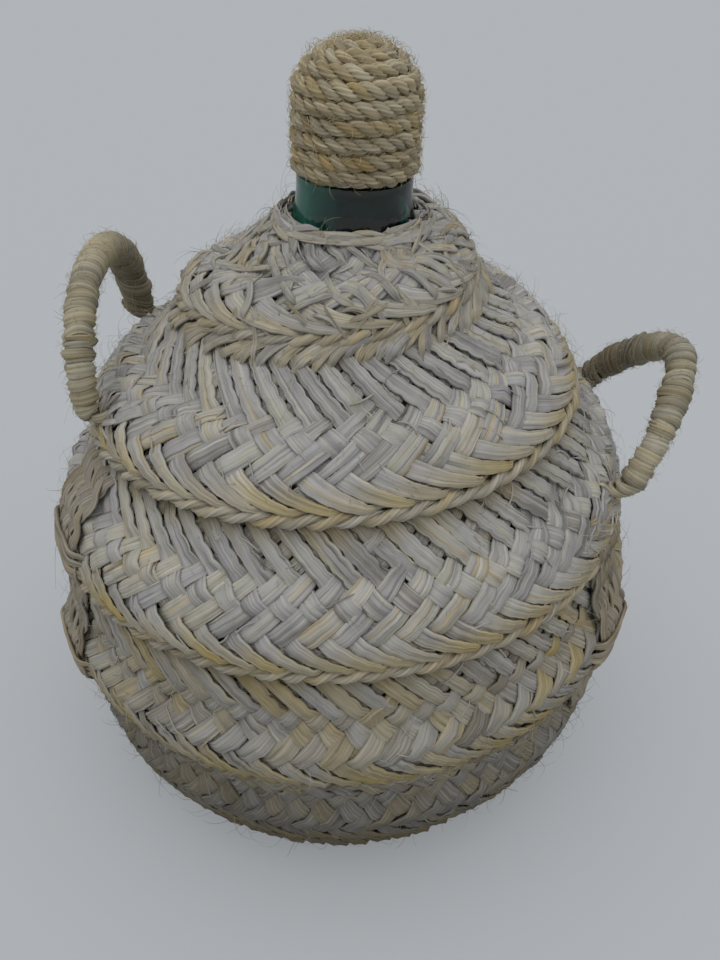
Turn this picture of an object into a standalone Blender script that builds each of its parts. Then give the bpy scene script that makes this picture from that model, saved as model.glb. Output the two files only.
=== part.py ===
"""A glass demijohn in a cover of esparto plait, with two rope handles and a corded stopper.

Metres, +Z up. The coiled base rests on the ground at the origin, and the handles are on X.
"""

import bmesh
import bpy
import numpy as np
from mathutils import Vector

# Counts
sides_round = 32
search_steps = 4000
span_points = 24
path_points = 201
glass_rings = 23
base_rings = 7
stopper_loop_points = 24
wrap_curl_points = 8
wrap_turns = 22
cord_sides = 6
rope_sides = 12
rope_middle_rings = 14
rope_ease_passes = 120
dome_rings = 8
hole_sides = 12

# Clearances between pieces that touch on the real object
fit_gap = 0.0007
lap_gap = 0.0006
strap_gap = 0.0009

# Glass bottle
glass_radius = 0.1470
glass_body_height = 0.3252
glass_wall = 0.0040
neck_radius = 0.0270
neck_rise = 0.0080
neck_wall = 0.0050
mouth_bead = 0.0007
bottle_height_shares = (
    0.0, 0.016, 0.068, 0.145, 0.268, 0.360, 0.422, 0.560, 0.682, 0.801, 0.889, 0.928, 0.963, 1.0
)
bottle_radius_shares = (
    0.510, 0.680, 0.815, 0.913, 0.985, 1.0, 0.990, 0.903, 0.745, 0.465, 0.208, 0.088, 0.018, 0.0
)

# Coiled base of the cover
base_thickness = 0.0070
base_rim_share = 0.0967
base_edge_round = 0.0022

# Plait of the cover. Places run up the glass from the edge of its flat base, as shares of its whole outline.
plait_width = 0.0920
plait_thickness = 0.0060
plait_edge_round = 0.0014
lap_margin = 0.0020
lap_slope = 0.0100
plait_start_width = 0.0300
plait_growth_turns = 2.0
plait_end_width = 0.0100
cover_top_share = 0.9693

# The lower edge of the plait: where it lies after so many turns, the first mark being its start
course_turns = (1.25, 2.25, 2.75, 3.75, 4.75, 5.75, 6.75, 7.75)
course_place_shares = (0.0763, 0.1272, 0.1577, 0.3180, 0.4859, 0.6538, 0.8497, 1.0049)
course_ease_turns = 0.25
course_ease_samples = 9

# Sewing cord under the laps
seam_cord_diameter = 0.0050
seam_cord_gap = 0.0006
seam_cord_first_share = 0.1425
seam_cord_last_share = 0.8904

# Carrying straps below the handles
strap_width = 0.0420
strap_thickness = 0.0055
strap_bearing = np.radians(27.0)
strap_bottom_share = 0.2671
strap_top_gap = 0.0015
strap_columns = 4
strap_rows = 10

# Handles
handle_root_half = 0.0560
handle_thickness = 0.0168
handle_foot_sink = 0.0003
handle_foot_length = 0.0050
handle_foot_round = 0.0012
handle_foot_angles = np.radians((-85.0, -60.0, -30.0, 0.0))
wrap_thickness = 0.0035
wrap_gap = 0.0007
wrap_tip_width = 0.0015
rope_gap = 0.0009
left_handle_share = 0.6437
left_handle_rise = 0.0535
left_handle_lean = np.radians(1.0)
left_handle_squareness = 2.30
right_handle_share = 0.5622
right_handle_rise = 0.0530
right_handle_lean = np.radians(32.0)
right_handle_squareness = 1.75

# Stopper
cork_seat_gap = 0.0004
cork_below_mouth = 0.0300
cork_taper = 0.0012
cork_edge_round = 0.0020
stopper_cord_diameter = 0.0080
stopper_row_gap = 0.0006
stopper_tip_diameter = 0.0016
stopper_cord_gap = 0.0005
stopper_height = 0.0570
stopper_dome_rise = 0.0205
tuck_bend_radius = 0.0062
tuck_hole_gap = 0.0006
tuck_angles = np.radians((30.0, 60.0, 90.0))
tuck_end_shares = (0.5, 1.0)

# Glass bottom and mouth, and how far off the glass the cover reaches where one turn laps another
glass_bottom = base_thickness + fit_gap
mouth_height = glass_bottom + glass_body_height + neck_rise
over_laps = fit_gap + 2 * plait_thickness + lap_gap

turn = 2 * np.pi


def clear_scene():
    for obj in list(bpy.data.objects):
        bpy.data.objects.remove(obj, do_unlink=True)


def surface_material(name, colour, roughness, alpha=1.0, transmission=0.0):
    material = bpy.data.materials.new(name)
    material.use_nodes = True
    shader = material.node_tree.nodes["Principled BSDF"]
    shader.inputs["Base Color"].default_value = (*colour, 1.0)
    shader.inputs["Roughness"].default_value = roughness
    shader.inputs["Metallic"].default_value = 0.0
    shader.inputs["Alpha"].default_value = alpha
    shader.inputs["Transmission Weight"].default_value = transmission
    return material


def add_solid(name, points, faces, material):
    """One named object from points and faces, facing out and shaded smooth."""
    mesh = bpy.data.meshes.new(name)
    mesh.from_pydata([tuple(map(float, p)) for p in points], [], [tuple(map(int, f)) for f in faces])
    shell = bmesh.new()
    shell.from_mesh(mesh)
    bmesh.ops.recalc_face_normals(shell, faces=shell.faces)
    shell.to_mesh(mesh)
    shell.free()
    mesh.materials.append(material)
    mesh.shade_smooth()
    mesh.set_sharp_from_angle(angle=np.radians(50.0))
    obj = bpy.data.objects.new(name, mesh)
    bpy.context.scene.collection.objects.link(obj)
    return obj


def set_origin(obj, point):
    """Moves the object's origin to a point and leaves the solid where it is."""
    place = Vector([float(c) for c in point])
    for vertex in obj.data.vertices:
        vertex.co -= place
    obj.location = place


def smoothstep(x):
    x = np.clip(x, 0.0, 1.0)
    return x * x * (3 - 2 * x)


def through_points(points):
    """A smooth run through every point, whose direction at each comes from its neighbours."""
    points = np.asarray(points, float)
    chord = np.linalg.norm(np.diff(points, axis=0), axis=1)
    at = np.concatenate([[0.0], np.cumsum(chord)])
    slope = np.gradient(points, at, axis=0)
    run = []
    for i in range(len(chord)):
        t = np.linspace(0, 1, span_points, endpoint=False)[:, None]
        run.append(
            (2 * t**3 - 3 * t**2 + 1) * points[i]
            + (t**3 - 2 * t**2 + t) * chord[i] * slope[i]
            + (3 * t**2 - 2 * t**3) * points[i + 1]
            + (t**3 - t**2) * chord[i] * slope[i + 1]
        )
    return np.vstack(run + [points[-1:]])


def along(run):
    return np.concatenate([[0.0], np.cumsum(np.linalg.norm(np.diff(run, axis=0), axis=1))])


def turned(name, outline, material, steps=sides_round):
    """A solid of revolution from an outline that starts and ends on the axis."""
    points = []
    rings = []
    for radius, height in outline:
        if radius == 0:
            rings.append([len(points)])
            points.append((0.0, 0.0, height))
            continue
        rings.append(list(range(len(points), len(points) + steps)))
        for i in range(steps):
            angle = turn * i / steps
            points.append((radius * np.cos(angle), radius * np.sin(angle), height))
    faces = []
    for low, high in zip(rings[:-1], rings[1:]):
        for i in range(steps):
            j = (i + 1) % steps
            if len(low) == 1:
                faces.append((low[0], high[j], high[i]))
            elif len(high) == 1:
                faces.append((low[i], low[j], high[0]))
            else:
                faces.append((low[i], low[j], high[j], high[i]))
    return add_solid(name, points, faces, material)


def skinned(name, sections, material):
    """A solid over equal open-ended rings of points, closed by a cap at each end."""
    count = len(sections[0])
    points = np.vstack(sections)
    faces = []
    for i in range(len(sections) - 1):
        for j in range(count):
            k = (j + 1) % count
            a = i * count
            faces.append((a + j, a + k, a + count + k, a + count + j))
    last = (len(sections) - 1) * count
    faces.append(tuple(range(count)))
    faces.append(tuple(last + j for j in reversed(range(count))))
    return add_solid(name, points, faces, material)


def tube_sections(path, radii, sides):
    """Round rings along a path, carried on without twist."""
    path = np.asarray(path, float)
    radii = np.broadcast_to(radii, len(path))
    tangents = np.gradient(path, axis=0)
    tangents /= np.linalg.norm(tangents, axis=1)[:, None]
    side = np.cross(tangents[0], (0.0, 0.0, 1.0))
    if np.linalg.norm(side) < 0.1:
        side = np.cross(tangents[0], (1.0, 0.0, 0.0))
    side /= np.linalg.norm(side)
    sections = []
    for point, tangent, radius in zip(path, tangents, radii):
        side = side - tangent * np.dot(side, tangent)
        side /= np.linalg.norm(side)
        other = np.cross(tangent, side)
        angles = turn * np.arange(sides) / sides
        ring = np.cos(angles)[:, None] * side + np.sin(angles)[:, None] * other
        sections.append(point + radius * ring)
    return sections


def print_least_gap(name, sections, skip):
    """Prints the least gap between points of a tube that lie more than some sections apart."""
    rings = np.array(sections)
    least = np.inf
    for i in range(len(rings) - skip):
        later = rings[i + skip:].reshape(-1, 3)
        apart = np.linalg.norm(rings[i][:, None, :] - later[None, :, :], axis=2)
        least = min(least, apart.min())
    print(f"{name}: least gap to itself {least * 1000:.2f} mm")


def bottle_outline():
    """The outside of the glass, as a run from the edge of its flat base to the straight neck."""
    heights = glass_bottom + glass_body_height * np.array(bottle_height_shares)
    radii = neck_radius + (glass_radius - neck_radius) * np.array(bottle_radius_shares)
    return through_points(np.column_stack([radii, heights]))


glass_run = bottle_outline()
glass_places = along(glass_run)
glass_length = glass_places[-1]
base_rim_place = base_rim_share * glass_length
cover_top = cover_top_share * glass_length
course_places = glass_length * np.array(course_place_shares)
strap_bottom_place = strap_bottom_share * glass_length
left_handle_place = left_handle_share * glass_length
right_handle_place = right_handle_share * glass_length


def glass_point(place):
    """Radius and height on the glass at a place, and the direction out of the glass there."""
    place = np.asarray(place, float)
    step = glass_length / len(glass_places)
    point = np.array([np.interp(place, glass_places, glass_run[:, i]) for i in (0, 1)])
    ahead = np.array([np.interp(place + step, glass_places, glass_run[:, i]) for i in (0, 1)])
    behind = np.array([np.interp(place - step, glass_places, glass_run[:, i]) for i in (0, 1)])
    slope = (ahead - behind) / np.linalg.norm(ahead - behind, axis=0)
    return point, np.array([slope[1], -slope[0]])


def off_glass(place, distance):
    """Radius and height at a distance out from the glass."""
    point, out = glass_point(place)
    return point + out * distance


def round_the_axis(bearing, radius, height):
    return np.stack([radius * np.cos(bearing), radius * np.sin(bearing), height + 0 * bearing], -1)


def places_by_bend(count):
    """Places up the glass, closer together where its outline bends more."""
    way = np.gradient(glass_run, axis=0)
    bend = np.abs(np.gradient(np.unwrap(np.arctan2(way[:, 1], way[:, 0]))))
    spent = glass_places / glass_length + np.cumsum(bend) / np.sum(bend)
    return np.interp(np.linspace(spent[0], spent[-1], count), spent, glass_places)


def make_glass():
    places = places_by_bend(glass_rings)
    outside = [tuple(glass_point(place)[0]) for place in places]
    inside = [tuple(off_glass(place, -glass_wall)) for place in places[:-3:2]]
    bore = neck_radius - neck_wall
    outline = [(0.0, glass_bottom)] + outside
    outline += [
        (neck_radius, mouth_height - mouth_bead),
        (neck_radius - mouth_bead, mouth_height),
        (bore + mouth_bead, mouth_height),
        (bore, mouth_height - mouth_bead),
        (bore, glass_point(places[-3])[0][1]),
    ]
    outline += [point for point in reversed(inside) if point[1] > glass_bottom + glass_wall]
    outline += [(outline[1][0] - glass_wall, glass_bottom + glass_wall), (0.0, glass_bottom + glass_wall)]
    glass = surface_material("green_glass", (0.02, 0.10, 0.08), 0.06, alpha=0.5, transmission=0.6)
    return turned("glass_bottle", outline, glass)


def make_base(esparto):
    """A dish of coiled plait: flat under the glass, with its rim turned up round the heel."""
    places = np.linspace(0, base_rim_place, base_rings)
    middle = fit_gap + base_thickness / 2
    outside = [tuple(off_glass(place, fit_gap + base_thickness)) for place in places[::2]]
    inside = [tuple(off_glass(place, fit_gap)) for place in places]
    outside[-1] = tuple(off_glass(base_rim_place - base_edge_round, fit_gap + base_thickness))
    inside[-1] = tuple(off_glass(base_rim_place - base_edge_round, fit_gap))
    outline = [(0.0, 0.0), (outside[0][0], 0.0)] + outside[1:]
    outline += [tuple(off_glass(base_rim_place, middle))] + inside[::-1]
    outline.append((0.0, base_thickness))
    return turned("base_coil", outline, esparto)


plait_start = course_turns[0]


def lower_edge(turns):
    """The plait's lower edge climbs as it goes round, and its changes of climb are eased."""
    ease = np.linspace(-course_ease_turns, course_ease_turns, course_ease_samples)
    return np.mean([np.interp(turns + shift, course_turns, course_places) for shift in ease], axis=0)


def plait_edges(turns):
    """Lower and upper edge. The plait widens over its first turns, and its end runs out at the rim."""
    low = lower_edge(turns)
    grown = np.clip((turns - plait_start) / plait_growth_turns, 0.0, 1.0)
    width = plait_start_width + (plait_width - plait_start_width) * grown
    return low, np.minimum(low + width, cover_top)


def last_turn():
    """Where the plait ends: the last place where it is still wide enough, on a whole step round."""
    tries = np.linspace(plait_start, course_turns[-1], search_steps)
    low, high = plait_edges(tries)
    wide = np.nonzero(high - low > plait_end_width)[0][-1]
    return np.floor(tries[wide] * sides_round) / sides_round


plait_end = last_turn()


def laps_over(turns):
    """The top edge of what lies under the plait, and how thick that is."""
    if turns < plait_start + 1:
        return base_rim_place, base_thickness
    return plait_edges(turns - 1)[1], plait_thickness


def plait_lift(turns, place):
    """How far the plait stands off to clear what it laps."""
    under, thickness = laps_over(turns)
    slope = smoothstep((under + lap_margin + lap_slope - place) / lap_slope)
    return (thickness + lap_gap) * slope


def plait_section(turns):
    """The closed outline across the plait, as places and distances off the glass."""
    low, high = plait_edges(turns)
    width = high - low
    edge = np.clip(laps_over(turns)[0] + lap_margin, low + width / 6, high - width / 2)
    slope_end = edge + min(lap_slope, (high - edge) / 4)
    columns = [low, edge, (edge + slope_end) / 2, slope_end]
    columns += list(np.linspace(slope_end, high, 4)[1:])
    columns = np.array(columns)
    inner = fit_gap + plait_lift(turns, columns)
    outer = inner + plait_thickness
    middle = (inner + outer) / 2
    round_in = min(plait_edge_round, width / 8)
    inner_places = columns.copy()
    inner_places[0] += round_in
    inner_places[-1] -= round_in
    places = np.concatenate([[low], inner_places, [high], inner_places[::-1]])
    distances = np.concatenate([[middle[0]], inner, [middle[-1]], outer[::-1]])
    return places, distances


def make_plait(esparto):
    steps = int(round((plait_end - plait_start) * sides_round))
    sections = []
    for i in range(steps + 1):
        turns = plait_start + i / sides_round
        places, distances = plait_section(turns)
        radius, height = off_glass(places, distances)
        bearing = np.full(len(places), turn * turns)
        sections.append(round_the_axis(bearing, radius, height))
    print_least_gap("plait_cover", sections, sides_round // 2)
    return skinned("plait_cover", sections, esparto)


def make_seam_cord(cord_material):
    """The sewing cord lies on the turn below, close under the lower edge of the turn above."""
    tries = np.linspace(plait_start + 1, plait_end, search_steps)
    edge = plait_edges(tries)[0]
    start = np.ceil(tries[np.argmax(edge > seam_cord_first_share * glass_length)] * sides_round) / sides_round
    end = np.floor(tries[np.argmax(edge > seam_cord_last_share * glass_length)] * sides_round) / sides_round
    radius = seam_cord_diameter / 2
    path = []
    for turns in np.arange(start, end + 0.5 / sides_round, 1 / sides_round):
        place = plait_edges(turns)[0] - seam_cord_gap - radius
        under = plait_lift(turns - 1, place)
        distance = fit_gap + under + plait_thickness + seam_cord_gap + radius
        ring_radius, height = off_glass(place, distance)
        path.append(round_the_axis(np.array(turn * turns), ring_radius, height))
    sections = tube_sections(path, radius, cord_sides)
    print_least_gap("seam_cord", sections, sides_round // 2)
    return skinned("seam_cord", sections, cord_material)


def handle_root(place):
    """Half the distance between the feet's axes across X, and the height of the hinge line."""
    radius, height = off_glass(place, over_laps + handle_thickness / 2 - handle_foot_sink)
    return np.sqrt(radius**2 - handle_root_half**2), height


def make_strap(name, side, bearing, handle_place, esparto):
    """A strap lies over the laps below one leg of a handle."""
    places = np.linspace(strap_bottom_place, handle_place - handle_thickness / 2 - strap_top_gap, strap_rows)
    inner_distance = over_laps + strap_gap
    sections = []
    for place in places:
        inside = off_glass(place, inner_distance)
        outside = off_glass(place, inner_distance + strap_thickness)
        spread = strap_width / 2 / inside[0]
        bearings = np.linspace(bearing - spread, bearing + spread, strap_columns)
        inner_edge = round_the_axis(bearings, inside[0], inside[1])
        outer_edge = round_the_axis(bearings[::-1], outside[0], outside[1])
        ring = np.vstack([inner_edge, outer_edge])
        ring[:, 0] *= side
        sections.append(ring)
    return skinned(name, sections, esparto)


def handle_path(side, place, rise, lean, squareness, count):
    """The middle line of a handle's rope, from its front foot over to its back foot."""
    root_x, root_height = handle_root(place)
    t = np.linspace(0, np.pi, search_steps + 1)
    across = -np.sign(np.cos(t)) * np.abs(np.cos(t)) ** (2 / squareness) * handle_root_half
    up = np.abs(np.sin(t)) ** (2 / squareness) * rise
    path = np.column_stack([
        side * (root_x + np.sin(lean) * up),
        across,
        root_height + np.cos(lean) * up,
    ])
    at = along(path)
    even = np.linspace(0, at[-1], count)
    return np.column_stack([np.interp(even, at, path[:, i]) for i in range(3)])


def eased(path, passes):
    """Evens out a path's bends and keeps its ends."""
    path = path.copy()
    for _ in range(passes):
        path[1:-1] = (path[:-2] + 2 * path[1:-1] + path[2:]) / 4
    return path


def make_handle(name, side, place, rise, lean, squareness, rope_material, cord_material):
    """A rope core with round feet, and the cord wound along it between the feet."""
    foot_radius = handle_thickness / 2
    wind_radius = foot_radius - wrap_thickness / 2
    core_radius = foot_radius - wrap_thickness - rope_gap
    path = eased(handle_path(side, place, rise, lean, squareness, path_points), rope_ease_passes)
    at = along(path)
    root_x, root_height = handle_root(place)
    hinge = (side * root_x, 0.0, root_height)

    # The core: a round foot at each end, as thick as the winding, then the rope
    ball = foot_radius * np.sin(handle_foot_angles)
    foot = np.concatenate([ball, [handle_foot_length]])
    foot_radii = np.append(np.sqrt(foot_radius**2 - ball**2), foot_radius)
    wound_from = handle_foot_length + handle_foot_round
    middle = np.linspace(wound_from, at[-1] - wound_from, rope_middle_rings)
    stops = np.concatenate([foot, middle, at[-1] - foot[::-1]])
    radii = np.concatenate([foot_radii, np.full(len(middle), core_radius), foot_radii[::-1]])
    start_way = (path[1] - path[0]) / np.linalg.norm(path[1] - path[0])
    end_way = (path[-1] - path[-2]) / np.linalg.norm(path[-1] - path[-2])
    core = []
    for stop in stops:
        if stop < 0:
            core.append(path[0] + start_way * stop)
        elif stop > at[-1]:
            core.append(path[-1] + end_way * (stop - at[-1]))
        else:
            core.append([np.interp(stop, at, path[:, i]) for i in range(3)])
    rope = skinned(name + "_rope", tube_sections(core, radii, rope_sides), rope_material)
    set_origin(rope, hinge)

    # The winding: its ends taper, and each turn is squeezed at the inside of the bend
    pitch = (at[-1] - 2 * wound_from) / (wrap_turns - 1)
    tip_turns = (wrap_tip_width + wrap_gap) / pitch
    in_plane = np.array((np.sin(lean) * side, 0.0, np.cos(lean)))
    square_to_plane = np.cross((0.0, 1.0, 0.0), in_plane)
    sections = []
    steps = int((wrap_turns - 2 * tip_turns) * wrap_curl_points)
    for turns in np.linspace(tip_turns, wrap_turns - tip_turns, steps + 1):
        taper = min(turns, 1.0, wrap_turns - turns)
        stop = wound_from + pitch / 2 + pitch * (turns - 1)
        if turns < 1:
            stop = wound_from + pitch * turns / 2
        if turns > wrap_turns - 1:
            stop = at[-1] - wound_from - pitch * (wrap_turns - turns) / 2
        stops = (stop - pitch, stop, stop + pitch)
        behind, centre, ahead = np.array([np.interp(stops, at, path[:, i]) for i in range(3)]).T
        way = (ahead - behind) / np.linalg.norm(ahead - behind)
        inward = np.cross(way, square_to_plane)
        out = np.cos(turn * turns) * inward + np.sin(turn * turns) * square_to_plane
        bend = (behind + ahead - 2 * centre) / pitch**2
        spread = 1 - np.dot(bend, out) * foot_radius
        half_width = (pitch * taper * min(spread, 1.0) - wrap_gap) / 2
        corners = turn * np.arange(cord_sides)[:, None] / cord_sides
        middle = centre + out * wind_radius
        sections.append(
            middle + way * half_width * np.cos(corners) + out * wrap_thickness / 2 * np.sin(corners)
        )
    print_least_gap(name + "_winding", sections, wrap_curl_points - 2)
    winding = skinned(name + "_winding", sections, cord_material)
    set_origin(winding, hinge)


def stopper_sizes():
    """Radius of the cork at the mouth, and of the middle of the cord wound on it."""
    cork_radius = neck_radius - neck_wall - cork_seat_gap
    wound_radius = cork_radius + stopper_cord_gap + stopper_cord_diameter / 2
    return cork_radius, wound_radius


def stopper_course():
    """The middle of the cord in profile, from its lowest row up and over the dome."""
    wound_radius = stopper_sizes()[1]
    low = mouth_height + stopper_cord_gap + stopper_cord_diameter / 2
    shoulder = mouth_height + stopper_height - stopper_cord_diameter / 2 - stopper_dome_rise
    quarter = np.linspace(0, np.pi / 2, path_points)
    dome = np.column_stack([wound_radius * np.cos(quarter), shoulder + stopper_dome_rise * np.sin(quarter)])
    return np.vstack([[(wound_radius, low)], dome])


def make_stopper(cork_material, cord_material):
    cork_radius, wound_radius = stopper_sizes()
    cord_radius = stopper_cord_diameter / 2
    course = stopper_course()
    at = along(course)
    row = stopper_cord_diameter + stopper_row_gap

    # The first row swells from a thin tip, so that the head stands level. Then the cord winds
    # up the side and in over the dome, and its end turns down into the cork.
    tip_turns = (stopper_tip_diameter + stopper_row_gap) / row
    last = 1 + (at[-1] - tuck_bend_radius) / row
    path = []
    radii = []
    for turns in np.linspace(tip_turns, last, int((last - tip_turns) * stopper_loop_points)):
        thickness = min(row * turns - stopper_row_gap, stopper_cord_diameter)
        if turns < 1:
            radius = cork_radius + stopper_cord_gap + thickness / 2
            height = mouth_height + stopper_cord_gap + thickness / 2
        else:
            radius, height = [np.interp((turns - 1) * row, at, course[:, axis]) for axis in (0, 1)]
        path.append(round_the_axis(np.array(turn * turns), radius, height))
        radii.append(thickness / 2)
    inner = path[-1]
    way = inner - path[-2]
    way[2] = 0.0
    way /= np.linalg.norm(way)
    to_axis = np.array([-inner[0], -inner[1], 0.0])
    to_axis /= np.linalg.norm(to_axis)
    for angle in tuck_angles:
        bent = way * np.sin(angle) - np.array((0.0, 0.0, 1.0)) * (1 - np.cos(angle))
        path.append(inner + tuck_bend_radius * bent)
    tuck = path[-1]
    down = np.array((0.0, 0.0, -1.0))
    for share in tuck_end_shares:
        path.append(tuck + down * stopper_cord_diameter * share)
    start_way = path[0] - path[1]
    start_way /= np.linalg.norm(start_way)
    path.insert(0, path[0] + start_way * stopper_tip_diameter)
    radii.insert(0, radii[0])
    radii += [cord_radius] * (len(path) - len(radii))
    sections = tube_sections(path, radii, cord_sides)
    print_least_gap("stopper_cord", sections, stopper_loop_points // 2)
    cord = skinned("stopper_cord", sections, cord_material)
    set_origin(cord, (0.0, 0.0, mouth_height))

    # The cork fills the winding, with a hole for the tucked end
    top = tuck[2] - cord_radius
    foot = mouth_height - cork_below_mouth
    outline = [
        (0.0, foot),
        (cork_radius - cork_taper - cork_edge_round, foot),
        (cork_radius - cork_taper, foot + cork_edge_round),
        (cork_radius, mouth_height),
        (cork_radius, course[1, 1]),
    ]
    clear = cord_radius + stopper_cord_gap
    for place in np.linspace(at[1], at[-1], dome_rings + 1)[1:]:
        behind, centre, ahead = [
            np.array([np.interp(place + shift, at, course[:, axis]) for axis in (0, 1)])
            for shift in (-cord_radius / 4, 0.0, cord_radius / 4)
        ]
        way = (ahead - behind) / np.linalg.norm(ahead - behind)
        point = (centre[0] - clear * way[1], centre[1] + clear * way[0])
        if point[1] < top and point[0] < cork_radius:
            outline.append(point)
    outline.append((outline[-1][0] - cork_edge_round, top))
    outline.append((0.0, top))
    cork = turned("stopper_cork", outline, cork_material)
    hole_radius = cord_radius + tuck_hole_gap
    hole_foot = path[-1][2] - cord_radius
    hole_outline = [(0.0, hole_foot), (hole_radius, hole_foot), (hole_radius, top + row), (0.0, top + row)]
    hole = turned("tuck_hole", hole_outline, cork_material, steps=hole_sides)
    hole.location = (tuck[0], tuck[1], 0.0)
    hole.hide_render = True
    hole.display_type = "WIRE"
    cut = cork.modifiers.new("tuck_hole", "BOOLEAN")
    cut.operation = "DIFFERENCE"
    cut.solver = "EXACT"
    cut.object = hole


def main():
    clear_scene()
    weathered = surface_material("weathered_esparto", (0.42, 0.36, 0.27), 0.85)
    base_esparto = surface_material("base_esparto", (0.38, 0.30, 0.18), 0.88)
    strap_esparto = surface_material("strap_esparto", (0.36, 0.30, 0.20), 0.85)
    sewing = surface_material("sewing_cord", (0.48, 0.37, 0.21), 0.80)
    rope = surface_material("handle_rope", (0.40, 0.31, 0.17), 0.85)
    winding = surface_material("winding_cord", (0.50, 0.40, 0.22), 0.78)
    stopper = surface_material("stopper_cord", (0.52, 0.38, 0.20), 0.78)
    cork = surface_material("cork", (0.50, 0.33, 0.18), 0.80)
    make_glass()
    make_base(base_esparto)
    make_plait(weathered)
    make_seam_cord(sewing)
    for word, side, place in (("left", -1, left_handle_place), ("right", 1, right_handle_place)):
        make_strap(word + "_front_strap", side, -strap_bearing, place, strap_esparto)
        make_strap(word + "_back_strap", side, strap_bearing, place, strap_esparto)
    make_handle("left_handle", -1, left_handle_place, left_handle_rise, left_handle_lean,
                left_handle_squareness, rope, winding)
    make_handle("right_handle", 1, right_handle_place, right_handle_rise, right_handle_lean,
                right_handle_squareness, rope, winding)
    make_stopper(cork, stopper)


main()
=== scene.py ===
# %% [markdown]
# # A glass demijohn in an esparto cover
#
# The bottle is dark green blown glass. Its cover is one long plait of esparto leaves, wound as a
# spiral and sewn to itself, with two rope handles and a stopper wound with cord. A smooth shell with
# a picture of a weave would be quick, but it looks like cloth, because on a woven thing the strands
# are what the eye reads. So this lesson dresses the imported model, which gives every size, with real
# strands. The first cell loads that model.

import bpy
import numpy as np
from mathutils import Matrix


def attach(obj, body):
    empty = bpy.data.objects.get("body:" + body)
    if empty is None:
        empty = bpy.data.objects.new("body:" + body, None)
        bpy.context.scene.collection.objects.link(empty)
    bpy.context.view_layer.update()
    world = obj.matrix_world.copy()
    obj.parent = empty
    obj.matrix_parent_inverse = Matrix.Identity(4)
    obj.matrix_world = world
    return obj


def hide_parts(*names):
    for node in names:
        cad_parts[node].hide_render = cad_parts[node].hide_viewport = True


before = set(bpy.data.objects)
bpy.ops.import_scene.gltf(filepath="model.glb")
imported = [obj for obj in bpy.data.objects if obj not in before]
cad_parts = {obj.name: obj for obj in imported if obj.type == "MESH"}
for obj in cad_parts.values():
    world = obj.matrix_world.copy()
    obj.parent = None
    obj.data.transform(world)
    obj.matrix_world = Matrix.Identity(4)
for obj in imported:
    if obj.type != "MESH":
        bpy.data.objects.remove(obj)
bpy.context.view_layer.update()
turn = 2 * np.pi

# %% [markdown]
# ## Colours and nodes
#
# Colours are written as sRGB hex values, as a maker would read them off a chart. Blender works in
# linear light, so one function turns them. Materials could be drawn by hand in the node editor. Here
# code makes them, so that several finishes can share one recipe, and one more function adds a node
# with its settings and links.

# %% Two helpers for materials
def linear(hex_colour):
    """An sRGB hex colour as linear red, green, blue and alpha."""
    parts = [int(hex_colour[i:i + 2], 16) / 255 for i in (1, 3, 5)]
    return tuple(c / 12.92 if c <= 0.04045 else ((c + 0.055) / 1.055) ** 2.4 for c in parts) + (1.0,)


def add_node(tree, kind, sockets=(), **settings):
    """A node with its settings. A socket takes a value, or a link from another node's output."""
    node = tree.nodes.new(kind)
    for key, value in settings.items():
        setattr(node, key, value)
    for key, value in dict(sockets).items():
        if isinstance(value, bpy.types.NodeSocket):
            tree.links.new(value, node.inputs[key])
        else:
            node.inputs[key].default_value = value
    return node


print("middle grey in linear light", round(linear("#808080")[0], 3))

# %% [markdown]
# ## A piece and what it stands for
#
# Each mesh becomes an object that rides on a body of the imported model, so that it moves with it.
# Most pieces also stand for a plain solid, which is then hidden. One function says all this,
# because a piece that is left out of it would stay behind when a handle rocks or the stopper is
# pulled.

# %% Adding a piece
def add_piece(name, mesh, material, body, replaced=()):
    """An object made from the mesh, on its body, standing for the solids it replaces."""
    mesh.shade_smooth()
    mesh.materials.append(material)
    piece = bpy.data.objects.new(name, mesh)
    bpy.context.scene.collection.objects.link(piece)
    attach(piece, body)
    if replaced:
        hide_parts(*replaced)
    print(f"{name}: {len(mesh.polygons)} faces, rides on {body}")
    return piece


# %% [markdown]
# ## Faces of a strand
#
# Leaves, plies and cords are all closed tubes: rings of points along a path. They could be Blender
# curves with a bevel, but a bevel has one shape all along, and a leaf changes its width and its ribs
# as it goes. So the rings are worked out first, and this cell joins them with faces. It also finds
# whether the rings run round the other way, so that every face looks out.

# %% The faces of one tube
def tube_faces(rings, base):
    """The side faces and both ends of a tube whose points count from base, and if it is inside out."""
    m, k = rings.shape[:2]
    ring = base + np.arange(m)[:, None] * k
    corner = np.arange(k)[None, :]
    a, b = ring + corner, ring + (corner + 1) % k
    sides = np.stack([a[:-1], b[:-1], b[1:], a[1:]], -1).reshape(-1, 4)
    middle = rings.mean(axis=1)
    outward = rings[m // 2, 0] - middle[m // 2]
    across = np.cross(rings[m // 2, 1] - rings[m // 2, 0], middle[m // 2 + 1] - middle[m // 2])
    return sides, a[0][::-1], a[-1], np.dot(across, outward) < 0


square_tube = np.array([[(x, y, z) for x, y in ((0, 0), (1, 0), (1, 1), (0, 1))] for z in (0, 1, 2)], float)
print("a square tube of three rings has", len(tube_faces(square_tube, 0)[0]), "side faces")

# %% [markdown]
# ## Two layouts of a strand
#
# A pattern of fibres has to run along each leaf, however the leaf turns. A pattern in space can't do
# that, so each tube is laid out flat, twice. The layout `fibre` is in metres, and the fibre pattern
# follows it. In the layout `OFBake` each tube has a cell of its own on one sheet, for baking.

# %% The layouts of one tube
layout_spread = 2.2
cell_used = (0.90, 0.94)
cell_edge = 0.03


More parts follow.
